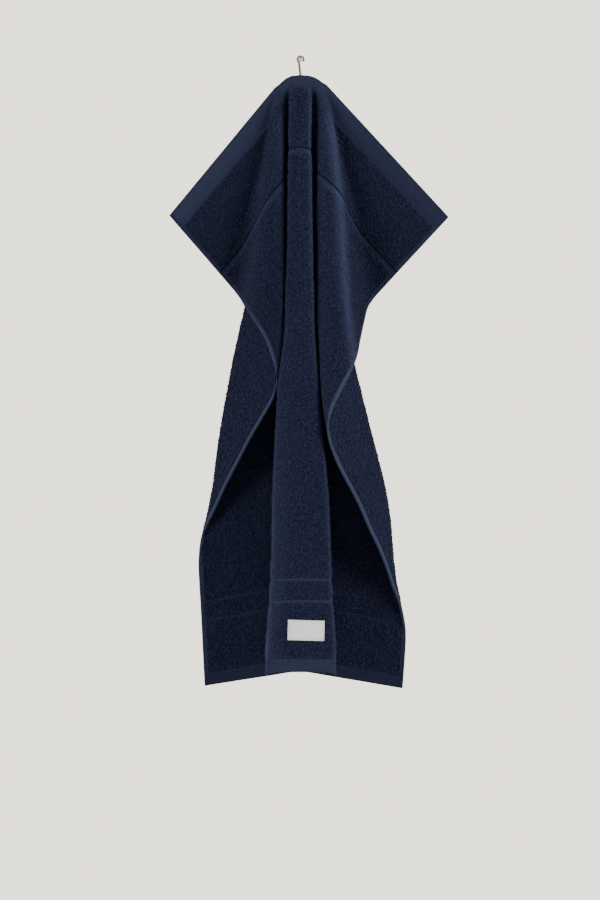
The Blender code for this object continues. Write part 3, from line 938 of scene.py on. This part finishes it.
# %% [markdown]
# ## The label
#
# A small woven tape, sewn flat on the centre fold near the lower edge, and left blank. A plain
# slab would cut through the bulging cloth. This one takes its bend from the cloth below it: its own
# grid is worked out in the cloth's coordinates and lifted off the pile. The stitches pull its rim
# down, so its middle stands a little proud.

# %% Label tape
LABEL_TURN = math.radians(1.3)
LABEL_HALF = 0.28
LABEL_LIFT = 2.1
LABEL_PROUD = 0.45
STITCH_DIP = 0.22


def label_place(a, b):
    """Cloth coordinates of the label's own a (to the right) and b (down), turned a little."""
    turn_cos, turn_sin = math.cos(LABEL_TURN), math.sin(LABEL_TURN)
    return (LABEL_MIDDLE[0] + a * turn_cos - b * turn_sin,
            LABEL_MIDDLE[1] + a * turn_sin + b * turn_cos)


def build_label():
    """The lift is even, plus an ease from the rim inwards, less a bell along the stitches."""
    a, b = np.meshgrid(spread(-LABEL_WIDTH / 2, LABEL_WIDTH / 2, 67, (-21, 21), 1.5, 2.0),
                       spread(-LABEL_HEIGHT / 2, LABEL_HEIGHT / 2, 41, (-11, 11), 1.5, 2.0))
    u, v = label_place(a, b + 0.25 * np.cos(a / 14))
    rim = np.minimum(LABEL_WIDTH / 2 - np.abs(a), LABEL_HEIGHT / 2 - np.abs(b))
    lift = LABEL_LIFT + LABEL_PROUD * smooth(rim / 7) - STITCH_DIP * np.exp(-((rim - 1.6) / 0.8) ** 2)
    lift = lift + 0.10 * soft_noise(u, v, 3.4, 3.0, 31) * smooth(rim / 2)
    middle, normal = over_cloth(u, v, lift)
    half = (LABEL_HALF * np.sqrt(1 - (1 - np.clip(rim / 0.5, 0, 1)) ** 2))[..., None]
    return closed_sheet("label_tape", middle + normal * half, middle - normal * half,
                        a + LABEL_WIDTH, b + LABEL_HEIGHT, "tape")[0]


label = build_label()
print("label triangles:", 2 * len(label.data.polygons))

# %% [markdown]
# ## A stitch
#
# A sewn stitch is a short length of thread that dips into the cloth at both ends. A bevelled curve
# for each would be heavy, as there are hundreds. Each is a small capsule instead, with six sides
# and five rings, bent a little along its length, and one array places them all.

# %% Stitch helpers
STITCH_SIDES = 6
# Each ring: place along the stitch, share of the thread's radius, share of the rise.
STITCH_RINGS = ((-0.50, 0.45, -1.0), (-0.32, 0.9, 0.25), (0.0, 1.0, 1.0), (0.32, 0.9, 0.25),
                (0.50, 0.45, -1.0))


def stitches(name, ends, normals, radius, rise):
    """Capsules between pairs of points: rings of radius times cosine and sine round each thread."""
    start, end = ends
    middle, along = (start + end) / 2, end - start
    length = np.linalg.norm(along, axis=-1, keepdims=True)
    along = along / length
    side = np.cross(along, normals)
    side /= np.linalg.norm(side, axis=-1, keepdims=True)
    up = np.cross(side, along)
    angle = 2 * np.pi * np.arange(STITCH_SIDES) / STITCH_SIDES
    rings = []
    for place, share, lift in STITCH_RINGS:
        heart = middle + along * length * place + up * rise * lift
        rings.append(heart[:, None] + radius * share * (side[:, None] * np.cos(angle)[:, None]
                                                         + up[:, None] * np.sin(angle)[:, None]))
    points = np.stack(rings, 1)
    count, levels = points.shape[:2]
    index = np.arange(count * levels * STITCH_SIDES).reshape(count, levels, STITCH_SIDES)
    ahead = np.roll(index, -1, axis=2)
    walls = np.stack([index[:, :-1], index[:, 1:], ahead[:, 1:], ahead[:, :-1]], -1).reshape(-1, 4)
    faces = walls[:, ::-1].tolist() + index[:, 0].tolist() + index[:, -1, ::-1].tolist()
    return mesh_object(name, points.reshape(-1, 3) * MM, faces)


def seam(corners, pitch, share, lift, front=1):
    """Stitch ends and normals along a line of cloth points (u, v), every pitch millimetres."""
    corners = np.array(corners, float)
    run = np.concatenate([[0], np.cumsum(np.linalg.norm(np.diff(corners, axis=0), axis=1))])
    at = np.arange(0.5 * pitch, run[-1] - 0.4 * pitch, pitch)
    found = []
    for shift in (-share / 2, share / 2):
        u = np.interp(at + shift * pitch, run, corners[:, 0])
        v = np.interp(at + shift * pitch, run, corners[:, 1])
        found.append(over_cloth(u, v, front * lift + 0 * u))
    return found[0][0], found[1][0], front * found[0][1]


sample = seam(((0, 300), (0, 310)), 2.5, 0.7, WOVEN_HALF)
print("stitches in a centimetre:", len(sample[0]))

# %% [markdown]
# ## Sewing
#
# A pale thread runs round the label, and a navy one along both side hems, the lower hem and the
# turned top edge, on the front and on the back. A row of stitches could be a bump in the material,
# but real ones catch light on one side. Their pitch is given in millimetres of cloth, so the rows
# stay even however the cloth is folded.

# %% Sew the label and the hems
LABEL_INSET = 1.6
LABEL_PITCH, LABEL_SHARE, LABEL_THREAD = 2.5, 0.72, 0.24
HEM_PITCH, HEM_SHARE, HEM_THREAD = 3.6, 0.70, 0.26
THREAD_RISE = 0.16
SIDE_STITCH = 4.6
LOW_STITCH = LENGTH - LOW_HEM + 2.2
TOP_STITCH = 5.0

inset_u, inset_v = LABEL_WIDTH / 2 - LABEL_INSET, LABEL_HEIGHT / 2 - LABEL_INSET
around = [label_place(a * inset_u, b * inset_v)
          for a, b in ((-1, -1), (1, -1), (1, 1), (-1, 1), (-1, -1))]
starts, ends, normals = seam(around, LABEL_PITCH, LABEL_SHARE, LABEL_LIFT + 0.30)
label_thread = stitches("label_thread", (starts, ends), normals, LABEL_THREAD, THREAD_RISE)

HEM_LINES = (
    ((-LEFT_WIDTH + SIDE_STITCH, 6), (-LEFT_WIDTH + SIDE_STITCH, LENGTH - 3)),
    ((RIGHT_WIDTH - SIDE_STITCH, 6), (RIGHT_WIDTH - SIDE_STITCH, LENGTH - 3)),
    ((-LEFT_WIDTH + 5, LOW_STITCH), (RIGHT_WIDTH - 5, LOW_STITCH)),
    ((-LEFT_WIDTH + 5, TOP_STITCH), (RIGHT_WIDTH - 5, TOP_STITCH)),
)
found = [seam(line, HEM_PITCH, HEM_SHARE, WOVEN_HALF + 0.12, front)
         for line in HEM_LINES for front in (1, -1)]
hem_starts, hem_ends, hem_normals = (np.concatenate([f[k] for f in found]) for k in range(3))
hem_thread = stitches("hem_thread", (hem_starts, hem_ends), hem_normals, HEM_THREAD, THREAD_RISE)
print("stitches:", len(starts) + len(hem_starts))

# %% [markdown]
# ## Pile
#
# The loops of terry stand about a millimetre and a half off the weave. A hair system could stand
# for them, but it is lost in an exported model, and bump alone can't break up an outline. About a
# hundred thousand single tufts are real geometry instead: each a triangle raised to a blunt point
# and closed below. They stand on a jittered lattice in the cloth's coordinates and lean at random,
# lower towards the flat bands. Four pieces hold them, so that no mesh is too heavy.

# %% Tufts of pile
TUFT_ACROSS = 2.55
TUFT_DOWN = 2.50
TUFT_WIDE = 2.1
TUFT_HIGH = 0.85
TUFT_JITTER = 0.38
TUFT_FOOT = 0.12
TUFT_ROOT = 0.45
LEAST_PILE = 0.55
SPLIT = 7


def tuft_places(draw, low, high, front):
    """Cloth coordinates of the tufts and the share of pile there: a lattice with every second row
    moved by half a step, each place jittered at random, and kept where there is pile."""
    u, v = np.meshgrid(np.arange(low + 1.2, high - 1.2, TUFT_ACROSS),
                       np.arange(1.5, LENGTH - 1.5, TUFT_DOWN))
    u = u + 0.5 * TUFT_ACROSS * (np.arange(u.shape[0])[:, None] % 2)
    u = (u + draw.uniform(-TUFT_JITTER, TUFT_JITTER, u.shape) * TUFT_ACROSS).ravel()
    v = (v + draw.uniform(-TUFT_JITTER, TUFT_JITTER, v.shape) * TUFT_DOWN).ravel()
    full = pile_share(u, v) * (1 - under_label(u, v) * (front > 0))
    inside = (u > -LEFT_WIDTH + SIDE_HEM) & (u < RIGHT_WIDTH - SIDE_HEM)
    keep = inside & (full > LEAST_PILE)
    return u[keep], v[keep], full[keep]


def tufts(name, low, high, front):
    """Closed tufts between two cloth widths. Corners lie on a circle round the base, the tip is
    the base plus its height along the normal and its lean, and the last point is below."""
    draw = np.random.default_rng(int(abs(low)) + 7 * front + 50)
    u, v, full = tuft_places(draw, low, high, front)
    base, normal = over_cloth(u, v, front * half_thickness(u, v))
    normal = normal * front
    side = np.cross(normal, [0.0, 0.0, 1.0])
    side /= np.linalg.norm(side, axis=-1, keepdims=True)
    up = np.cross(side, normal)
    turn, size = draw.uniform(0, 2 * np.pi, u.shape), draw.uniform(0.8, 1.25, u.shape)
    lean_side, lean_up = draw.normal(0, 0.55, u.shape), draw.normal(-0.25, 0.5, u.shape)
    corners = []
    for k in range(3):
        angle = turn + 2 * np.pi * k / 3
        corners.append(base + (TUFT_WIDE / 2 * size)[:, None]
                       * (side * np.cos(angle)[:, None] + up * np.sin(angle)[:, None])
                       + normal * TUFT_FOOT)
    height = TUFT_HIGH * size * full * (0.6 + 0.4 * puffed(v))
    tip = base + normal * height[:, None] + side * lean_side[:, None] + up * lean_up[:, None]
    points = np.stack([*corners, tip, base - normal * TUFT_ROOT], 1)
    first = 5 * np.arange(len(u))[:, None]
    pattern = ((0, 1, 3), (1, 2, 3), (2, 0, 3), (1, 0, 4), (2, 1, 4), (0, 2, 4))
    faces = np.concatenate([first + np.array(f) for f in pattern])
    obj = mesh_object(name, points.reshape(-1, 3) * MM, faces)
    surface_uv(obj, "cloth", np.repeat(u, 5), np.repeat(v, 5))
    vertex_value(obj, "pile", np.ones(5 * len(u)))
    # Painted highlight and painted shade from the fold table, on the front tufts only.
    vertex_value(obj, "painted_light", np.repeat(painted_light_and_shade(u, v) * (front > 0), 5))
    return obj


PILE = [tufts("pile_front_left", -LEFT_WIDTH, SPLIT, 1),
        tufts("pile_front_right", SPLIT, RIGHT_WIDTH, 1),
        tufts("pile_back_left", -LEFT_WIDTH, SPLIT, -1),
        tufts("pile_back_right", SPLIT, RIGHT_WIDTH, -1)]
print("tufts:", sum(len(p.data.vertices) for p in PILE) // 5)

# %% [markdown]
# ## Tubes along a path
#
# A strand of cord and the wire of a hook are the same thing: a round section carried along a path.
# Blender's curves can bevel such a tube, but its section may twist where the path turns. Here the
# path is made of even steps, and two directions square to it are carried along without a twist:
# each step takes the last direction and removes the part that points along the path.

# %% Even paths
def even_path(points, count):
    """Rounded path through the points (sideways, outward, up), as count even steps."""
    points = np.array(points, float)
    ends = np.vstack([2 * points[0] - points[1], points, 2 * points[-1] - points[-2]])
    t = np.linspace(0, 1, 12, endpoint=False)[:, None]
    pieces = []
    for a, b, c, d in zip(ends, ends[1:], ends[2:], ends[3:]):
        pieces.append(0.5 * (2 * b + (c - a) * t + (2 * a - 5 * b + 4 * c - d) * t ** 2
                             + (3 * b - a - 3 * c + d) * t ** 3))
    path = np.vstack(pieces + [points[-1:]])
    run = np.concatenate([[0], np.cumsum(np.linalg.norm(np.diff(path, axis=0), axis=1))])
    at = np.linspace(0, run[-1], count)
    return np.stack([np.interp(at, run, path[:, k]) for k in range(3)], axis=-1)


def path_frame(path):
    """Two directions square to the path at each point, carried along it without twist."""
    ahead = np.gradient(path, axis=0)
    ahead /= np.linalg.norm(ahead, axis=1, keepdims=True)
    first = np.empty_like(path)
    side = np.cross(ahead[0], [0.3, 0.1, 1.0])
    for k, way in enumerate(ahead):
        side = side - way * (side @ way)
        side = side / np.linalg.norm(side)
        first[k] = side
    return first, np.cross(ahead, first)


straight = even_path([(0, 0, 0), (0, 0, 10), (0, 0, 20)], 5)
print("heights of an even path:", straight[:, 2].round(1).tolist())

# %% Tubes
def tube(path, radius, sides):
    """Path plus radius times (cosine times one direction and sine times the other), one radius or
    one for each point, and its faces, closed by fans at both ends."""
    first, second = path_frame(path)
    angle = 2 * np.pi * np.arange(sides) / sides
    ring = first[:, None] * np.cos(angle)[:, None] + second[:, None] * np.sin(angle)[:, None]
    points = path[:, None] + ring * np.broadcast_to(radius, len(path))[:, None, None]
    index = np.arange(len(path) * sides).reshape(len(path), sides)
    ahead = np.roll(index, -1, axis=1)
    walls = np.stack([index[:-1], ahead[:-1], ahead[1:], index[1:]], -1).reshape(-1, 4)
    low, high = index.size, index.size + 1
    caps = [(low, b, a) for a, b in zip(index[0], ahead[0])]
    caps += [(high, a, b) for a, b in zip(index[-1], ahead[-1])]
    points = np.vstack([points.reshape(-1, 3), path[:1], path[-1:]])
    return points * (1, -1, 1), walls[:, ::-1].tolist() + [c[::-1] for c in caps]


print("points of a short tube:", len(tube(straight, 1.0, 8)[0]))

# %% [markdown]
# ## Cord loop
#
# The towel hangs by a twisted cord of three strands. A straight tube with a bump would show no
# grooves in its outline. Each strand is a tube of its own, whose middle winds round the loop's
# path: offset times the cosine and sine of its angle, in the path's own frame. The strands touch,
# so the cord shows its slanting grooves. Both ends are sewn to the cloth's back.

# %% Hanging cord
WIRE = 3.0
CORD = 2.4
GAP = 0.35
SEAT = (15.2, -32.5)
BEND = 4.0
CORD_SIDE = 4.3
STRAND_OFFSET = 0.60
STRAND_RADIUS = 0.66
CORD_TURNS = 26
CORD_STEPS = 300
STRAND_SIDES = 10
CLOTH_BACK = 1.65


def build_cord():
    """Half of the loop, from the hook's seat down to the cloth's back, and its mirror image."""
    seat_out, seat_up = SEAT
    top = seat_up - BEND + WIRE / 2 + GAP + CORD / 2
    half = [(0.0, seat_out, top), (2.6, seat_out + 0.3, top - 1.2), (3.9, 17.0, top - 5.0),
            (CORD_SIDE, 22.5, top - 12.0), (CORD_SIDE, 27.3, top - 21.0)]
    for down in (48.0, 58.0, 70.0):
        point = cloth_points(np.array([[CORD_SIDE, CORD_SIDE]]), np.array([[down, down]]))[0, 0]
        half.append((CORD_SIDE, -point[1] - CLOTH_BACK - GAP - CORD / 2, point[2]))
    path = even_path([(-x, out, up) for x, out, up in reversed(half[1:])] + half, CORD_STEPS)
    first, second = path_frame(path)
    run = np.linspace(0, 1, len(path))
    points, faces = [], []
    for strand in range(3):
        angle = (2 * np.pi * (strand / 3 + CORD_TURNS * run))[:, None]
        winding = path + STRAND_OFFSET * (first * np.cos(angle) + second * np.sin(angle))
        more, walls = tube(winding, STRAND_RADIUS, STRAND_SIDES)
        faces += [tuple(len(points) * len(more) + i for i in f) for f in walls]
        points.append(more)
    return mesh_object("hanging_cord", np.vstack(points) * MM, faces), path


cord, cord_path = build_cord()
cord_length = np.linalg.norm(np.diff(cord_path, axis=0), axis=1).sum()
print("cord length, mm:", round(float(cord_length), 1))

# %% [markdown]
# ## Hook
#
# The hook is one piece of round wire: an eye round the pin, a stem that leans off the wall, and a
# bend with a raised tip. It could be joined from a ring and bars, but a bent wire has no joints. The
# same tube is carried along one path, and its radius shrinks like a ball at both cut ends.

# %% Hook wire
EYE_RADIUS = 3.5
EYE_OUT = 2.3
EYE_RISE = 0.05
STEM = ((-1.7, 4.6, -6.0), (-1.0, 7.0, -12.5), (-0.3, 9.4, -20.0))
TIP_UP = 3.5
WIRE_STEPS = 320
WIRE_SIDES = 20


def build_hook():
    """Most of a circle for the eye, points of the stem, half a circle for the bend, and the tip."""
    eye = [math.radians(18 * k - 42) for k in range(16)]
    bend = [math.radians(180 + 22.5 * k) for k in range(9)]
    seat_out, seat_up = SEAT
    path = [(EYE_RADIUS * math.cos(t), EYE_OUT + EYE_RISE * k, EYE_RADIUS * math.sin(t))
            for k, t in enumerate(eye)]
    path += [*STEM, (0.0, seat_out - BEND, -28.0)]
    path += [(0.0, seat_out + BEND * math.cos(t), seat_up + BEND * math.sin(t)) for t in bend]
    path.append((0.0, seat_out + BEND, seat_up + TIP_UP))
    path = even_path(path, WIRE_STEPS)
    run = np.concatenate([[0], np.cumsum(np.linalg.norm(np.diff(path, axis=0), axis=1))])
    end = np.minimum(run, run[-1] - run) / (WIRE / 2)
    radius = WIRE / 2 * np.sqrt(np.clip(1 - (1 - np.clip(end, 0, 1)) ** 2, 0.02, 1))
    points, faces = tube(path, radius, WIRE_SIDES)
    return mesh_object("hook_wire", points * MM, faces)


hook = build_hook()
print("hook vertices:", len(hook.data.vertices))

# %% [markdown]
# ## Pin
#
# The pin was turned on a lathe: a shank, a flat collar and a low dome for its head. Blender's
# Screw modifier could spin a profile. Here the profile of radius and height is multiplied by the
# cosine and sine of the angle, which gives the same shape as one array, with one point at each pole.

# %% Wall pin
PIN_SIDES = 40
PIN_BODY = ((0, 0.0), (1.5, 0.0), (1.7, 0.2), (1.7, 4.2), (2.3, 4.2), (2.72, 4.35), (2.8, 4.6))
PIN_POLE = (0, 5.9)


def turned(name, profile, sides):
    """Profile of (radius, outward) pairs spun round the Y axis, from pole to pole."""
    radius, out = np.array(profile[1:-1], float).T
    angle = 2 * np.pi * np.arange(sides) / sides
    points = np.stack([np.outer(radius, np.cos(angle)), np.repeat(-out[:, None], sides, 1),
                       np.outer(radius, np.sin(angle))], -1).reshape(-1, 3)
    index = np.arange(len(radius) * sides).reshape(len(radius), sides)
    ahead = np.roll(index, -1, axis=1)
    faces = np.stack([index[:-1], ahead[:-1], ahead[1:], index[1:]], -1).reshape(-1, 4).tolist()
    low, high = index.size, index.size + 1
    faces += [(low, b, a) for a, b in zip(index[0], ahead[0])]
    faces += [(high, a, b) for a, b in zip(index[-1], ahead[-1])]
    poles = [(0, -profile[0][1], 0), (0, -profile[-1][1], 0)]
    return mesh_object(name, np.vstack([points, poles]) * MM, faces)


dome = [(2.8 * math.cos(t), 4.75 + 1.15 * math.sin(t)) for t in np.linspace(0.0, 1.45, 9)]
pin = turned("wall_pin", [*PIN_BODY, *dome, PIN_POLE], PIN_SIDES)
print("pin vertices:", len(pin.data.vertices))

# %% [markdown]
# ## Label tape material
#
# The tape is a fine plain weave, a thread over and a thread under. Modelling each would need
# thousands of threads too small to see. Two crossed waves in the tape's own UV map, multiplied,
# give the same small squares as a bump and a faint tone, with a cloudy noise over them.

# %% Tape finish
TAPE_SHADE = (0.90, 0.885, 0.86)
TAPE_LIGHT = (0.98, 0.97, 0.95)


def tape_material():
    """Wave across times wave down for the weave; the weave plus noise gives the tone."""
    mat, nodes, links, shader = new_material("label_tape", (0.74, 0.72, 0.68), 0.8)
    uv = node(nodes, "ShaderNodeUVMap", {"uv_map": "tape"}).outputs["UV"]
    crossed = []
    for way in ("X", "Y"):
        wave = node(nodes, "ShaderNodeTexWave", {"bands_direction": way}, Scale=520.0,
                    Distortion=1.2, Detail=1.0)
        links.new(uv, wave.inputs["Vector"])
        crossed.append(wave.outputs["Fac"])
    weave = math_node(nodes, links, "MULTIPLY", *crossed)
    cloudy = node(nodes, "ShaderNodeTexNoise", Scale=260.0, Detail=2.0)
    links.new(uv, cloudy.inputs["Vector"])
    both = math_node(nodes, links, "ADD", weave, cloudy.outputs["Fac"])
    tone = math_node(nodes, links, "MULTIPLY", both, 0.6)
    colour = mix_colour(nodes, links, tone, TAPE_SHADE, TAPE_LIGHT)
    links.new(colour, shader.inputs["Base Color"])
    add_bump(nodes, links, shader, weave, strength=0.35, distance=0.0003)
    shader.inputs["Sheen Weight"].default_value = 0.1
    return mat


LABEL_TAPE = tape_material()
print("tape nodes:", len(LABEL_TAPE.node_tree.nodes))

# %% [markdown]
# ## Thread, cord and steel
#
# Threads and cord are cotton: matt, with fine fibres that a small noise gives. The wire and the
# pin are plain steel, worn satin, whose roughness changes a little from place to place. An image
# would need its own layout on each piece. Noise in Object coordinates needs none, and as every
# piece sits at the origin, it can't slide.

# %% Thread and steel finishes
def thread_material(name, colour, dark):
    """Fibres mix dark into the colour and raise a slight bump."""
    mat, nodes, links, shader = new_material(name, colour, 0.8)
    place = node(nodes, "ShaderNodeTexCoord").outputs["Object"]
    fibre = node(nodes, "ShaderNodeTexNoise", Scale=2400.0, Detail=2.0)
    links.new(place, fibre.inputs["Vector"])
    tone = mix_colour(nodes, links, fibre.outputs["Fac"], dark, colour)
    links.new(tone, shader.inputs["Base Color"])
    add_bump(nodes, links, shader, fibre.outputs["Fac"], strength=0.4, distance=0.0002)
    shader.inputs["Sheen Weight"].default_value = 0.15
    shader.inputs["Specular IOR Level"].default_value = 0.25
    return mat


def steel_material(name, colour, roughness):
    """Noise shifts the roughness a little up and down and darkens the colour by up to a fifth."""
    mat, nodes, links, shader = new_material(name, colour, roughness, 1.0)
    place = node(nodes, "ShaderNodeTexCoord").outputs["Object"]
    brushed = node(nodes, "ShaderNodeTexNoise", Scale=900.0, Detail=3.0)
    links.new(place, brushed.inputs["Vector"])
    rough = math_node(nodes, links, "MULTIPLY_ADD", brushed.outputs["Fac"], 0.25, roughness - 0.12)
    links.new(rough, shader.inputs["Roughness"])
    darker = tuple(0.8 * c for c in colour)
    tone = mix_colour(nodes, links, brushed.outputs["Fac"], darker, colour)
    links.new(tone, shader.inputs["Base Color"])
    return mat


WHITE_THREAD = thread_material("label_thread", (0.72, 0.70, 0.66), (0.50, 0.48, 0.45))
NAVY_THREAD = thread_material("hem_thread", (0.030, 0.042, 0.095), (0.012, 0.018, 0.045))
NAVY_CORD = thread_material("navy_cord", (0.022, 0.032, 0.078), (0.008, 0.012, 0.032))
WIRE_STEEL = steel_material("wire_steel", (0.38, 0.365, 0.345), 0.78)
PIN_STEEL = steel_material("pin_steel", (0.90, 0.89, 0.87), 0.60)
print("materials:", sorted(m.name for m in bpy.data.materials))

# %% [markdown]
# ## Dressing the pieces
#
# Each piece gets its finish and says which solids it stands for and which body it moves with.
# Thread and pile stand for no solid of their own. All ride the one body, because cloth has no
# joints.

# %% Dress the pieces
DRESS = (
    (label, LABEL_TAPE, "label_tape", ("label",)),
    (label_thread, WHITE_THREAD, "label_tape", ()),
    (hem_thread, NAVY_THREAD, "terry", ()),
    (cord, NAVY_CORD, "cord", ("cord",)),
    (hook, WIRE_STEEL, "wire", ("hook",)),
    (pin, PIN_STEEL, "pin", ("pin",)),
    *((tuft, TERRY, "terry", ()) for tuft in PILE),
)
for piece, finish, name, solids in DRESS:
    piece.data.materials.append(finish)
    if solids:
        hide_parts(*solids)
    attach(piece, "root")
print("pieces dressed:", 1 + len(DRESS))

# %% [markdown]
# ## Floor and light
#
# A pale round floor lies below, out of the front view. One bare lamp would make hard black
# shadows in the folds, so large soft panels stand at both sides, a little in front, the right one
# stronger, and they rake across the folds. A small low panel lifts the hem, and one behind and
# above lights the back for the other views.

# %% Floor and panels
FLOOR_RADIUS = 0.42
FLOOR_PLACE = (0, -0.05, -1.2)
TOWEL_MIDDLE = (0, 0, -0.38)
LOW_MIDDLE = (0, 0, -0.65)

bpy.ops.mesh.primitive_cylinder_add(vertices=96, radius=FLOOR_RADIUS, depth=0.02,
                                    location=FLOOR_PLACE)
floor = bpy.context.object
floor.name = "floor"
floor_mat, *_ = new_material("pale_floor", (0.90, 0.89, 0.87), 0.7)
floor.data.materials.append(floor_mat)


def soft_panel(name, place, target, size, power):
    """Square light panel at a place, tilted and turned by the arc tangents of the way to a target."""
    data = bpy.data.lights.new(name, "AREA")
    data.shape, data.size, data.energy = "SQUARE", size, power
    lamp = bpy.data.objects.new(name, data)
    away = np.array(target) - np.array(place)
    flat = math.hypot(away[0], away[1])
    lamp.location = place
    lamp.rotation_euler = (math.atan2(flat, -away[2]), 0, math.atan2(away[1], away[0]) - math.pi / 2)
    bpy.context.collection.objects.link(lamp)


soft_panel("key", (2.19, -1.02, 0.10), TOWEL_MIDDLE, 0.9, 78)
soft_panel("fill", (-2.13, -1.23, -0.15), TOWEL_MIDDLE, 0.9, 62)
soft_panel("low", (0.0, -1.3, -1.0), LOW_MIDDLE, 0.6, 2)
soft_panel("behind", (0.0, 1.7, 1.5), TOWEL_MIDDLE, 1.2, 60)

# %% [markdown]
# ## The pale room
#
# A towel hangs in a bright room, but a bright background that also lit it would wash out the folds.
# So the surroundings have two parts: what is seen behind the towel is warm and bright, and what
# lights it is dim. The Light Path node tells the two kinds of ray apart.

# %% Surroundings
ROOM_SEEN, SEEN_STRENGTH = (0.80, 0.745, 0.63), 3.1
ROOM_LIGHT, LIGHT_STRENGTH = (0.80, 0.79, 0.78), 0.24

world = bpy.data.worlds.new("pale room")
world.use_nodes = True
sky, sky_links = world.node_tree.nodes, world.node_tree.links
seen, lighting = sky["Background"], sky.new("ShaderNodeBackground")
seen.inputs["Color"].default_value = (*ROOM_SEEN, 1)
seen.inputs["Strength"].default_value = SEEN_STRENGTH
lighting.inputs["Color"].default_value = (*ROOM_LIGHT, 1)
lighting.inputs["Strength"].default_value = LIGHT_STRENGTH
mixer = sky.new("ShaderNodeMixShader")
sky_links.new(sky.new("ShaderNodeLightPath").outputs["Is Camera Ray"], mixer.inputs[0])
sky_links.new(lighting.outputs[0], mixer.inputs[1])
sky_links.new(seen.outputs[0], mixer.inputs[2])
sky_links.new(mixer.outputs[0], sky["World Output"].inputs["Surface"])
bpy.context.scene.world = world
print("world nodes:", len(sky))

# %% [markdown]
# ## Sizes and finish
#
# A dressed piece should be as large as the solid it stands for. So the box round the solids,
# measured at the start, is printed.

# %% Sizes and finish
solids_size = [round(1000 * float(high - low), 1) for low, high in zip(*cad_box)]
print("size of the solids, mm:", solids_size)
